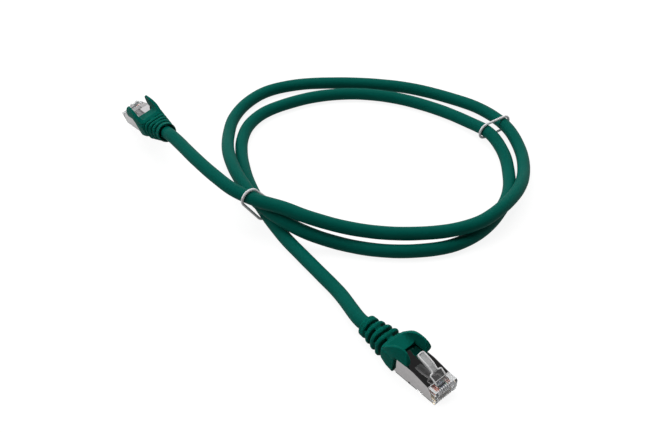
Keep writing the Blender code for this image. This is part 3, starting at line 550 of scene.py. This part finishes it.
def insulation(name, colour, stripe=None):
    """Satin insulation; the paler wire of a pair has a stripe of its partner's colour."""
    made, tree, shader = new_material(name, colour, 0.4)
    at = millimetres(tree)
    tone = shaded(tree, ranged(tree, noise(tree, at, 1.1, 3.0), 0.0, 0.4), colour, 0.8)
    if stripe:
        band = add_node(tree, "ShaderNodeTexWave", {"Vector": at, "Scale": 0.22, "Distortion": 0.4})
        share = ranged(tree, band.outputs["Fac"], 0.0, 1.0, 0.55, 0.62)
        tone = mix_colour(tree, share, tone, stripe)
    gloss = ranged(tree, noise(tree, at, 2.5, 3.0), 0.34, 0.48)
    vary(tree, shader, tone, gloss)
    return made


def dress_solids():
    """Give every carried-over solid its finish."""
    made = {
        "clear_polycarbonate": clear_plastic("housing_clear", CLEAR_HOUSING, 0.02, 0.08, flow=0.04),
        "clear_latch": thin_web("latch_clear", CLEAR_ARM, 0.12, 0.44),
        "plated_shell": plated_sheet(),
        "gold_contact": metal("contact_gold", (0.74, 0.55, 0.28), 0.25, 0.15),
        "load_bar_plastic": clear_plastic("load_bar_natural", (0.84, 0.86, 0.88), 0.3, 0.6),
        "tinned_braid": metal("screen_braid", (0.62, 0.62, 0.61), 0.45, 0.3),
        "tinned_ferrule": metal("ferrule_tin", (0.66, 0.66, 0.65), 0.4, 0.5),
    }
    for colour, (tone, ground) in INSULATION.items():
        made["wire_" + colour] = insulation("wire_" + colour, tone)
        made["wire_white_" + colour] = insulation("wire_white_" + colour, ground, tone)
    for row in RECORD["subparts"]:
        node = frame["nodes"][row["node"]]
        if row["material_slot"] in made:
            node.data.materials.clear()
            node.data.materials.append(made[row["material_slot"]])
    return made


# ---------------------------------------------------------------- shapes


def plug_frame(tag):
    """The plug's own frame, in metres, from its nose mount and the axis of its latch."""
    nose = next(m for m in RECORD["mounts"] if m["name"] == "nose" + tag)
    hinge = next(j for j in RECORD["behaviour"]["joints"] if j["child"] == "latch" + tag)
    along = Vector(nose["axis"]).normalized()
    left = -Vector(hinge["axis"]).normalized()
    up = along.cross(left).normalized()
    place = Vector(nose["pos_m"]) - NOSE_MOUNT_HEIGHT * MM * up
    return Matrix.Translation(place) @ Matrix((along, left, up)).transposed().to_4x4()


def smooth_line(points, count):
    """Evenly spaced points on the centripetal Catmull-Rom curve through the given ones."""
    knots = np.array([2 * points[0] - points[1], *points, 2 * points[-1] - points[-2]])
    fine = []
    for p0, p1, p2, p3 in zip(knots, knots[1:], knots[2:], knots[3:]):
        pairs = ((p0, p1), (p1, p2), (p2, p3))
        t = np.cumsum([0.0] + [np.linalg.norm(b - a) ** 0.5 for a, b in pairs])
        for u in np.linspace(t[1], t[2], CURVE_FINENESS, endpoint=False):
            a1 = ((t[1] - u) * p0 + (u - t[0]) * p1) / (t[1] - t[0])
            a2 = ((t[2] - u) * p1 + (u - t[1]) * p2) / (t[2] - t[1])
            a3 = ((t[3] - u) * p2 + (u - t[2]) * p3) / (t[3] - t[2])
            b1 = ((t[2] - u) * a1 + (u - t[0]) * a2) / (t[2] - t[0])
            b2 = ((t[3] - u) * a2 + (u - t[1]) * a3) / (t[3] - t[1])
            fine.append(((t[2] - u) * b1 + (u - t[1]) * b2) / (t[2] - t[1]))
    fine = np.array([*fine, knots[-2]])
    along = lengths_along(fine)
    wanted = np.linspace(0.0, along[-1], count)
    return np.column_stack([np.interp(wanted, along, fine[:, k]) for k in range(3)])


def lengths_along(line):
    """How far along the line each of its points is."""
    return np.concatenate([[0.0], np.cumsum(np.linalg.norm(np.diff(line, axis=0), axis=1))])


def carried_sides(line):
    """Unit vectors square to the line that turn as little as they can along it."""
    along = np.gradient(line, axis=0)
    along /= np.linalg.norm(along, axis=1)[:, None]
    side = np.cross(along[0], (0.0, 0.0, 1.0))
    side /= np.linalg.norm(side)
    sides = []
    for direction in along:
        side = side - (side @ direction) * direction
        side /= np.linalg.norm(side)
        sides.append(side.copy())
    sides = np.array(sides)
    return sides, np.cross(along, sides)


def tube_mesh(name, line, radius_at, sides):
    """A tube with rounded ends; radius_at takes the length along it and the angle round it.

    Its UV map holds the length along it in metres and the turn round it from 0 to 1."""
    side, up = carried_sides(line)
    lengths = lengths_along(line)
    bm = bmesh.new()
    uv = bm.loops.layers.uv.new("run")
    rings = []
    for point, s, u, length in zip(line, side, up, lengths):
        ring = []
        for k in range(sides):
            turn = 2 * math.pi * k / sides
            radius = radius_at(length, turn)
            ring.append(bm.verts.new(point + radius * (math.cos(turn) * s + math.sin(turn) * u)))
        rings.append(ring)
    for i, (near, far) in enumerate(zip(rings, rings[1:])):
        for k in range(sides):
            j = (k + 1) % sides
            face = bm.faces.new((near[k], near[j], far[j], far[k]))
            corners = ((i, k), (i, k + 1), (i + 1, k + 1), (i + 1, k))
            for loop, (row, column) in zip(face.loops, corners):
                loop[uv].uv = (lengths[row], column / sides)
    bm.faces.new(rings[0])
    bm.faces.new(rings[-1])
    bmesh.ops.recalc_face_normals(bm, faces=bm.faces)
    mesh = bpy.data.meshes.new(name)
    bm.to_mesh(mesh)
    bm.free()
    mesh.shade_smooth()
    mesh.set_sharp_from_angle(angle=math.radians(50))
    return mesh


def add_piece(name, mesh, paint, body="root"):
    piece = bpy.data.objects.new(name, mesh)
    bpy.context.scene.collection.objects.link(piece)
    mesh.materials.clear()
    mesh.materials.append(paint)
    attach(piece, body)
    return piece


def cable_line(frame_a, frame_b, count):
    """Out of the far boot, along the route and into the near boot."""
    inside = [-JACKET_END, -(JACKET_END + BOOT_REAR) / 2, -BOOT_REAR, -BOOT_REAR - STRAIGHT_EXIT]
    start = [np.array(frame_b @ (MM * Vector((x, 0, CABLE_AXIS)))) for x in inside]
    end = [np.array(frame_a @ (MM * Vector((x, 0, CABLE_AXIS)))) for x in reversed(inside)]
    return smooth_line([*start, *(np.array(p) for p in ROUTE), *end], count)


def make_cable(frame_a, frame_b, paint):
    line = cable_line(frame_a, frame_b, CABLE_STEPS)

    def radius(length, turn):
        """The cores below the jacket show as a very slight twist."""
        lobe = math.cos(JACKET_LOBES * (turn - 2 * math.pi * length / JACKET_LAY))
        return CABLE_DIAMETER / 2 * (1 - JACKET_SWELL + JACKET_SWELL * lobe)

    piece = add_piece("cable", tube_mesh("cable", line, radius, CABLE_SIDES), paint)
    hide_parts("cable_jacket")
    return line


# ---------------------------------------------------------------- boots


def loft(bm, sections):
    """Skin the sections, which have as many points each, and cap both ends."""
    rings = [[bm.verts.new(point) for point in section] for section in sections]
    count = len(rings[0])
    for near, far in zip(rings, rings[1:]):
        for i in range(count):
            j = (i + 1) % count
            bm.faces.new((near[i], near[j], far[j], far[i]))
    bm.faces.new(rings[0])
    bm.faces.new(rings[-1])


def prism(bm, outline, low, high):
    loft(bm, [[(x, y, z) for x, z in outline] for y in (low, high)])


def block(bm, x, y, z):
    prism(bm, ((x[0], z[0]), (x[1], z[0]), (x[1], z[1]), (x[0], z[1])), y[0], y[1])


def turned(bm, profile, sides):
    angles = [2 * math.pi * (i + 0.5) / sides for i in range(sides)]
    loft(bm, [
        [(x, r * math.sin(a), CABLE_AXIS + r * math.cos(a)) for a in angles] for x, r in profile
    ])


def solid(name, build):
    bm = bmesh.new()
    build(bm)
    bmesh.ops.recalc_face_normals(bm, faces=bm.faces)
    mesh = bpy.data.meshes.new(name)
    bm.to_mesh(mesh)
    bm.free()
    made = bpy.data.objects.new(name, mesh)
    bpy.context.scene.collection.objects.link(made)
    return made


def baked(part, helpers, place):
    """The part's mesh, in metres at its place, with its modifiers applied; the helpers go too."""
    depsgraph = bpy.context.evaluated_depsgraph_get()
    mesh = bpy.data.meshes.new_from_object(part.evaluated_get(depsgraph))
    for item in (part, *helpers):
        bpy.data.objects.remove(item, do_unlink=True)
    mesh.transform(place @ Matrix.Scale(MM, 4))
    mesh.shade_smooth()
    return mesh


def sharp_mesh(name, build, place):
    """A plain plug piece with its edges kept sharp."""
    mesh = baked(solid(name, build), [], place)
    mesh.set_sharp_from_angle(angle=math.radians(30))
    return mesh


def cut(part, other, operation="DIFFERENCE"):
    step = part.modifiers.new(other.name, "BOOLEAN")
    step.operation = operation
    step.solver = "EXACT"
    step.object = other


def rounded_section(x, half, low, high, corner, lower_corner=None, rake=0.0, steps=9):
    """A rounded rectangle across the plug; rake leans it back towards its foot."""
    points = []
    for y_sign, z_sign, start in ((1, 1, 0), (-1, 1, 90), (-1, -1, 180), (1, -1, 270)):
        radius = corner if z_sign > 0 else lower_corner or corner
        y_mid = y_sign * (half - radius)
        z_mid = high - radius if z_sign > 0 else low + radius
        for k in range(steps + 1):
            turn = math.radians(start + 90 * k / steps)
            z = z_mid + radius * math.sin(turn)
            points.append((x - rake * (high - z), y_mid + radius * math.cos(turn), z))
    return points


def ring_section(x, place, inset):
    """A section of the tail; place counts the rings from the box, inset is the groove's depth."""
    share = place / (RING_COUNT - 1)
    half = RING_HALF + (COLLAR_RADIUS - RING_HALF) * share
    corner = min(1.0, RING_ROUNDNESS + (1 - RING_ROUNDNESS) * share) * COLLAR_RADIUS
    low, high = CABLE_AXIS - COLLAR_RADIUS + inset, CABLE_AXIS + COLLAR_RADIUS - inset
    return rounded_section(x, half - inset, low, high, corner - inset)


def boot_body(bm):
    """The box round the plug's end, its heel, and the ribbed tail, as one loft."""
    low, half = CABLE_AXIS - COLLAR_RADIUS, BOOT_WIDTH / 2
    heel = -SHELL_REAR - GAP - BOOT_WALL
    sections = [
        rounded_section(-BOOT_FRONT, half, low, BOX_TOP, BOOT_CORNER, rake=BOOT_RAKE),
        rounded_section(heel, half, low, BOX_TOP, BOOT_CORNER, BOOT_MID_CORNER),
        rounded_section(-BOX_END, BOOT_HEEL_HALF, low, BOX_TOP, BOOT_HEEL_TOP, BOOT_HEEL_CORNER),
    ]
    steps = 8
    for index in range(RING_COUNT):
        crest = -RING_FIRST - index * RING_PITCH
        first = -steps // 2
        last = steps // 2 if index < RING_COUNT - 1 else 0
        for k in range(first + (1 if index else 0), last + 1):
            share = k / steps
            groove = RING_DEPTH * abs(math.sin(math.pi * share)) ** 4
            x = crest - share * RING_PITCH
            sections.append(ring_section(x, max(0, index + share), groove))
    sections.append(ring_section(-BOOT_REAR, RING_COUNT - 1, TAIL_EDGE))
    loft(bm, sections)


def ears(bm):
    """Both ears and the space between them: a side view whose flanks lean in to the crown."""
    crown = np.array([(x, 0.0, BOX_TOP + z) for x, z in EAR_OUTLINE[:-1]])
    outline = [(p[0], p[2]) for p in smooth_line(crown, EAR_STEPS)]
    seat = SHELL_HEIGHT + EAR_CLEARANCE
    root, foot = -BOOT_FRONT - BOOT_WALL, seat - EAR_FOOT
    behind = outline[0][0]
    outline += [(EAR_OUTLINE[-1][0], seat), (root, seat), (root, foot), (behind, foot)]
    flank = BOOT_WIDTH / 2 + EAR_PROUD
    prism(bm, outline, -flank, flank)
    rim = [e for e in bm.edges if abs(sum(v.co.y for v in e.verts)) > 1.99 * flank]
    bmesh.ops.bevel(bm, geom=rim, offset=EAR_ROUND, segments=4, profile=0.5, affect="EDGES")
    levels, leans = zip(*((BOX_TOP + z, lean) for z, lean in EAR_LEAN))
    ahead = -BOOT_FRONT + BOOT_WALL / 2
    planes = [((0, 0, z), (0, 0, 1)) for z in np.linspace(levels[0], levels[-1], EAR_LEVELS)]
    cuts = np.linspace(behind, -BOOT_FRONT, EAR_CUTS)[1:]
    planes += [((x, 0, 0), (1, 0, 0)) for x in (*cuts, ahead)]
    for point, normal in planes:
        everything = [*bm.verts, *bm.edges, *bm.faces]
        bmesh.ops.bisect_plane(bm, geom=everything, plane_co=point, plane_no=normal, dist=1e-5)
    for v in bm.verts:
        lean = np.interp(v.co.z, levels, leans)
        lean += EAR_HEEL * np.interp(v.co.x, (behind, -BOOT_FRONT), (1, 0)) ** 2
        if v.co.x > ahead - 1e-4:
            lean += EAR_TUCK * np.interp(v.co.z, (seat, levels[0]), (1, 0))
        v.co.y *= (flank - lean) / flank
    bmesh.ops.triangulate(bm, faces=bm.faces)


def scoop(bm):
    """The space between the ears, with a rounded floor over the box."""
    floor, top = BOX_TOP + SCOOP_FLOOR, BOX_TOP + 2 * COLLAR_RADIUS
    quarter = []
    for turn in np.linspace(0, math.pi / 2, 9):
        y = EAR_INNER - SCOOP_FILLET * (1 - math.cos(turn))
        quarter.append((y, floor + SCOOP_FILLET * (1 - math.sin(turn))))
    right = [(EAR_INNER, top), *quarter]
    section = right + [(-y, z) for y, z in reversed(right)]
    loft(bm, [[(x, y, z) for y, z in section] for x in (EAR_OUTLINE[0][0] - BOOT_WALL, 0.0)])


def latch_space(bm):
    """Ahead of the box the ears stand on the shell, with nothing between them."""
    height = (SHELL_HEIGHT, BOX_TOP + COLLAR_RADIUS)
    block(bm, (-BOOT_FRONT - 0.05, 0.0), (-EAR_INNER, EAR_INNER), height)


def plug_pocket(bm):
    """The space in the box that the shell's rear end fills."""
    wide = SHELL_WIDTH / 2 + FINE
    along = (-SHELL_REAR - GAP, -BOOT_FRONT + BEYOND)
    block(bm, along, (-wide, wide), (SHELL_SKIRT - GAP, SHELL_HEIGHT + FINE))


def bore(bm):
    """The way for the cable, flared at the tail's mouth."""
    lip, flare = MOUTH_LIP
    turned(bm, (
        (-BOOT_REAR - 0.5, MOUTH_RADIUS + flare), (-BOOT_REAR + lip, MOUTH_RADIUS),
        (-BOOT_REAR + MOUTH_DEPTH, BORE_RADIUS), (-SHELL_REAR, BORE_RADIUS),
    ), sides=48)


def tail_slots(bm):
    """A pair of slots in each groove, at the sides and above and below in turn."""
    far = 2 * RING_HALF
    half_web = WEB_WIDTH / 2
    for index in range(RING_COUNT):
        x = -(RING_FIRST - RING_PITCH / 2 + index * RING_PITCH)
        span = (x - SLOT_WIDTH / 2, x + SLOT_WIDTH / 2)
        for sign in (-1, 1):
            reach = sorted((sign * half_web, sign * far))
            level = (CABLE_AXIS - far, CABLE_AXIS + far)
            if index % 2 == 0:
                block(bm, span, reach, level)
            else:
                block(bm, span, (-far, far), (CABLE_AXIS + reach[0], CABLE_AXIS + reach[1]))


def make_boot(tag, place, paint):
    """The moulded boot, with the soft edges that a moulding has."""
    part = solid("boot_form" + tag, boot_body)
    helpers = [solid("ears", ears)]
    cut(part, helpers[0], "UNION")
    for build in (scoop, latch_space, plug_pocket, bore, tail_slots):
        helpers.append(solid(build.__name__, build))
        cut(part, helpers[-1])
    remesh = part.modifiers.new("remesh", "REMESH")
    remesh.mode = "VOXEL"
    remesh.voxel_size = BOOT_VOXEL
    soft = part.modifiers.new("soften", "SMOOTH")
    soft.factor = 0.5
    soft.iterations = SOFTENING
    mesh = baked(part, helpers, place)
    piece = add_piece("boot_moulded" + tag, mesh, paint)
    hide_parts("boot" + tag)


# ---------------------------------------------------------------- shell and latch


def softened(part, width, segments, angle=35):
    """Round the part's sharp edges."""
    step = part.modifiers.new("round", "BEVEL")
    step.width = width
    step.segments = segments
    step.limit_method = "ANGLE"
    step.angle_limit = math.radians(angle)


def shell_outline(inset=0.0):
    """Side view of the shell, or of the space in it, which runs out past its open sides."""
    slope = (SHELL_HEIGHT - SHELL_LIP_HEIGHT) / (SHELL_CREST - SHELL_LIP)
    top = SHELL_HEIGHT - inset
    ahead, beyond = (BEYOND + 1, BEYOND) if inset else (0, 0)
    notch = 0 if inset else NOTCH_SIZE
    low = SHELL_SKIRT - beyond
    return (
        (-SHELL_LIP + ahead, SHELL_LIP_HEIGHT - inset - slope * ahead), (-SHELL_CREST, top),
        (-SHELL_REAR - beyond, top), (-SHELL_REAR - beyond, low),
        (-NOTCH_PLACE - NOTCH_SIZE, low), (-NOTCH_PLACE - NOTCH_SIZE / 2, low + notch),
        (-NOTCH_PLACE + NOTCH_SIZE / 2, low + notch), (-NOTCH_PLACE + NOTCH_SIZE, low),
        (-SHELL_TOE + ahead, low),
    )


def sheet_form(half, inset, fold):
    """The shell's outside, or the space in it, with rounded folds along the top."""
    def build(bm):
        prism(bm, shell_outline(inset), -half, half)
        bm.edges.ensure_lookup_table()
        top = SHELL_LIP_HEIGHT - inset - 2
        folds = [
            e for e in bm.edges
            if all(abs(abs(v.co.y) - half) < 1e-5 and v.co.z > top for v in e.verts)
            and abs(e.verts[0].co.x - e.verts[1].co.x) > 1
        ]
        bmesh.ops.bevel(bm, geom=folds, offset=fold, segments=5, profile=0.5, affect="EDGES")
        bmesh.ops.triangulate(bm, faces=[f for f in bm.faces if len(f.verts) > 4])
    return build


def shell_notch_shade(bm):
    """Small blocks that look out below the notches in the side plates, painted dark as the shade in
    the notches.
    """
    for sign in (-1, 1):
        along = (-NOTCH_PLACE - NOTCH_SIZE, -NOTCH_PLACE + NOTCH_SIZE)
        across = sorted(sign * (SHELL_WIDTH / 2 - inset) for inset in NOTCH_SHADE_INSETS)
        block(bm, along, across, (NOTCH_SHADE_LOW, SHELL_SKIRT + NOTCH_SIZE))


def make_shell(tag, place, paint, lip_highlight_paint, notch_shade_paint):
    """Folded sheet with rounded folds, a rolled front edge painted pale as a highlight, and dark
    blocks painted as the shade in the notches.
    """
    half = SHELL_WIDTH / 2
    part = solid("sheet" + tag, sheet_form(half, 0.0, SHELL_FOLD))
    inner_fold = SHELL_FOLD - SHELL_SHEET / 2
    space = solid("space", sheet_form(half - SHELL_SHEET, SHELL_SHEET, inner_fold))
    cut(part, space)
    softened(part, SHELL_CUT_EDGE, segments=2, angle=50)
    mesh = baked(part, [space], place)
    mesh.set_sharp_from_angle(angle=math.radians(30))
    piece = add_piece("shell_sheet" + tag, mesh, paint)
    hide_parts("shell" + tag)
    # the rolled lip is painted pale: a painted highlight
    reach = half - SHELL_FOLD / 2
    height = SHELL_LIP_HEIGHT - SHELL_LIP_SUNK
    across = np.linspace(-reach, reach, SHELL_LIP_STEPS)
    lip = np.array([place @ (MM * Vector((-SHELL_LIP, y, height))) for y in across])
    bead = tube_mesh(
        "shell_lip" + tag, lip, lambda length, turn: SHELL_LIP_BEAD * MM, SHELL_LIP_SIDES)
    add_piece("shell_lip" + tag, bead, lip_highlight_paint)
    # painted shade: dark blocks in the notches
    name = "shell_notch_shade" + tag
    add_piece(name, sharp_mesh(name, shell_notch_shade, place), notch_shade_paint)


def nose_ribs(bm):
    """The moulded ribs between the contact slots: a row on the upper front, one at the bottom."""
    for index in range(WIRE_COUNT + 1):
        middle = (index - WIRE_COUNT / 2) * WIRE_PITCH
        for outline in (NOSE_RIB_UPPER, NOSE_RIB_LOWER):
            prism(bm, outline, middle - NOSE_RIB / 2, middle + NOSE_RIB / 2)


def nose_window_shade(bm):
    """The recess across the top, over the wires, as a block painted dark as its shade."""
    block(bm, NOSE_WINDOW_X, NOSE_WINDOW_Y, NOSE_WINDOW_Z)


def make_nose(tag, place, rib_paint, window_shade_paint):
    """What the clear nose shows: its comb of ribs, and the recess over the wires as a block painted
    dark as its shade.
    """
    for build, paint in ((nose_ribs, rib_paint), (nose_window_shade, window_shade_paint)):
        name = build.__name__ + tag
        add_piece(name, sharp_mesh(name, build, place), paint)


def tongue(rows, half):
    """A stretch of the springy tongue, its top slightly dished inside a rim."""
    def build(bm):
        inner = half - LATCH_RIM
        floor = inner - LATCH_DISH_WALL
        rings = []
        for i, (x, top, under) in enumerate(rows):
            dish = 0.0 if i in (0, len(rows) - 1) else LATCH_DISH
            rings.append([
                (x, -half, under), (x, half, under), (x, half, top), (x, inner, top),
                (x, floor, top - dish), (x, -floor, top - dish), (x, -inner, top), (x, -half, top),
            ])
        loft(bm, rings)
    return build


def latch_rim_line():
    """Along one side of the latch's top, across its tip and back along the other side."""
    inset = LATCH_RIM / 2
    wide, narrow = SHOULDER_WIDTH / 2 - inset, LATCH_WIDTH / 2 - inset
    side = [(x, wide, top) for x, top, _ in LATCH_WIDE[1:]]
    step = LATCH_WIDE[-1]  # where the shoulders end
    side[-1] = (step[0] + inset, wide, step[1] - LATCH_RIM_SUNK)
    side.append((step[0] + inset, narrow, step[1] - LATCH_RIM_SUNK))
    side += [(x, narrow, top) for x, top, _ in LATCH_NARROW[1:-1]]
    side[-1] = (side[-1][0] - inset / 2, narrow, side[-1][2])
    return [*side, *((x, -y, z) for x, y, z in reversed(side))]


def eased_corners(points, reach):
    """The same run of points with each corner cut off, reach away from it on both sides."""
    eased = [points[0]]
    for before, corner, after in zip(points, points[1:], points[2:]):
        for other in (before, after):
            step = np.subtract(other, corner)
            eased.append(tuple(np.add(corner, step * min(0.4, reach / np.linalg.norm(step)))))
    return [*eased, points[-1]]


def make_latch(tag, place, clear, frosted, highlight_paint):
    """A clear root between the shoulders, a frosted arm, and a rim painted near white as a painted
    highlight on its edges.
    """
    body = "latch" + tag
    for name, rows, width, paint in (
        ("latch_root", LATCH_WIDE, SHOULDER_WIDTH, clear),
        ("latch_arm", LATCH_NARROW, LATCH_WIDTH, frosted),
    ):
        part = solid(name + tag, tongue(rows, width / 2))
        softened(part, LATCH_ROUND, segments=3)
        mesh = baked(part, [], place)
        mesh.set_sharp_from_angle(angle=math.radians(40))
        piece = add_piece(name + tag, mesh, paint, body)
    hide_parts(body)
    # the rim tube's white paint is a painted highlight along the latch's edges
    corners = eased_corners(latch_rim_line(), LATCH_RIM_EASE)
    points = np.array([place @ (MM * Vector(point)) for point in corners])
    path = smooth_line(points, LATCH_RIM_STEPS)
    rim = tube_mesh(
        "latch_rim" + tag, path, lambda length, turn: LATCH_RIM_RADIUS * MM, LATCH_RIM_SIDES)
    add_piece("latch_rim" + tag, rim, highlight_paint, body)


# ---------------------------------------------------------------- ties


def convex_outline(points):
    """The corners of the tightest closed outline round flat points, anticlockwise."""
    ordered = sorted(map(tuple, points))
    halves = []
    for row in (ordered, ordered[::-1]):
        chain = []
        for p in row:
            while len(chain) > 1:
                (ax, ay), (bx, by) = chain[-2], chain[-1]
                if (bx - ax) * (p[1] - ay) - (by - ay) * (p[0] - ax) > 0:
                    break
                chain.pop()
            chain.append(p)
        halves.append(chain[:-1])
    return np.array(halves[0] + halves[1])


def heading_vector(degrees):
    return np.array((math.cos(math.radians(degrees)), math.sin(math.radians(degrees)), 0.0))


def tie_line(place, line, loop_points=40, twist_points=12):
    """Once round the strands that cross the tie's plane, with the ends twisted together."""
    (x, y), heading, tail_heading = place
    centre = np.array((x, y, 0.0))
    normal = heading_vector(heading)
    across = np.array((-normal[1], normal[0], 0.0))
    offset = (line - centre) @ normal
    radius = TIE_DIAMETER / 2
    turns = np.linspace(0, 2 * math.pi, 64, endpoint=False)
    cloud = []
    for i in np.nonzero(offset[:-1] * offset[1:] < 0)[0]:
        step = line[i + 1] - line[i]
        point = line[i] + offset[i] / (offset[i] - offset[i + 1]) * step
        if np.linalg.norm(point[:2] - centre[:2]) < TIE_REACH:
            lean = abs(step @ normal) / np.linalg.norm(step)
            u, z = (point - centre) @ across, point[2]
            high = CABLE_DIAMETER / 2 + TIE_SLACK + radius
            wide = CABLE_DIAMETER / 2 / lean + TIE_SLACK + radius
            cloud += [(u + wide * math.cos(t), z + high * math.sin(t)) for t in turns]
    outline = convex_outline(cloud)

    # start at the low outer corner, where the tail leaves, and walk round the strands
    corner = np.array((outline[:, 0].max(), outline[:, 1].min()))
    first = np.argmin(np.linalg.norm(outline - corner, axis=1))
    outline = np.roll(outline, -first, axis=0)
    closed = np.vstack([outline, outline[:1]])
    along = lengths_along(closed)
    loop = []
    for s in np.linspace(TIE_LOOP_START, along[-1] - TIE_LOOP_START, loop_points):
        level = np.array((0, 0, np.interp(s, along, closed[:, 1])))
        loop.append(centre + np.interp(s, along, closed[:, 0]) * across + level)

    tail = heading_vector(tail_heading)
    out = np.array((tail[1], -tail[0], 0.0))
    out *= math.copysign(1, out @ across)
    low = max(outline[0, 1], TIE_TAIL_LOWEST)
    base = centre + (outline[0, 0] + TIE_TAIL_OUT) * across + (0, 0, low)
    upward = np.array((0, 0, 1.0))
    twists = []
    for phase in (0.0, math.pi):
        strand = []
        for k in range(int(TIE_TWISTS * twist_points) + 1):
            turn = 2 * math.pi * k / twist_points + phase
            step = tail * TIE_TAIL * k / (TIE_TWISTS * twist_points)
            around = TIE_TWIST_RADIUS * (math.sin(turn) * out - math.cos(turn) * upward)
            strand.append(base + step + around)
        twists.append(strand)
    if loop[0][2] > loop[-1][2]:
        loop.reverse()
    lower, upper = twists
    return smooth_line(np.array([*lower[::-1], *loop, *upper]), TIE_STEPS)


def make_tie(name, place, line, paint):
    path = tie_line(place, line)
    mesh = tube_mesh(name, path, lambda length, turn: TIE_DIAMETER / 2, TIE_SIDES)
    piece = add_piece(name + "_wire", mesh, paint)
    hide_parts(name)


make_camera()
make_floor()
light_scene()
FINISHES = dress_solids()
FRAME_A, FRAME_B = plug_frame("_a"), plug_frame("_b")
CABLE = make_cable(FRAME_A, FRAME_B, jacket_pvc())
BOOT_PAINT = moulded_pvc("boot_green", BOOT_GREEN, BOOT_SHADE, 0.5, 0.12)
ROOT_PAINT = thin_web("latch_root", CLEAR_ROOT, 0.08, 0.06)
# painted highlight on the latch's rim
RIM_HIGHLIGHT_PAINT = clear_plastic("latch_edge_highlight", RIM_HIGHLIGHT_WHITE, 0.12, 1.0)
# painted highlight on the shell's lip
LIP_HIGHLIGHT_PAINT = new_material("shell_lip_highlight", LIP_HIGHLIGHT, 0.45, 0.15)[0]
RIB_PAINT = clear_plastic("nose_rib", FROSTED_RIB, 0.15, 0.85)
# painted shade for the nose's recess and the shell's notches
SHADE_PAINT = new_material("nose_window_shade", HOLLOW_SHADE, 0.4)[0]
for tag, place in (("_a", FRAME_A), ("_b", FRAME_B)):
    make_boot(tag, place, BOOT_PAINT)
    make_shell(tag, place, FINISHES["plated_shell"], LIP_HIGHLIGHT_PAINT, SHADE_PAINT)
    make_nose(tag, place, RIB_PAINT, SHADE_PAINT)
    make_latch(tag, place, ROOT_PAINT, FINISHES["clear_latch"], RIM_HIGHLIGHT_PAINT)
TIE_PAINT = tie_coating()
make_tie("tie_left", TIE_LEFT, CABLE, TIE_PAINT)
make_tie("tie_right", TIE_RIGHT, CABLE, TIE_PAINT)

bpy.context.scene.view_settings.view_transform = "Standard"
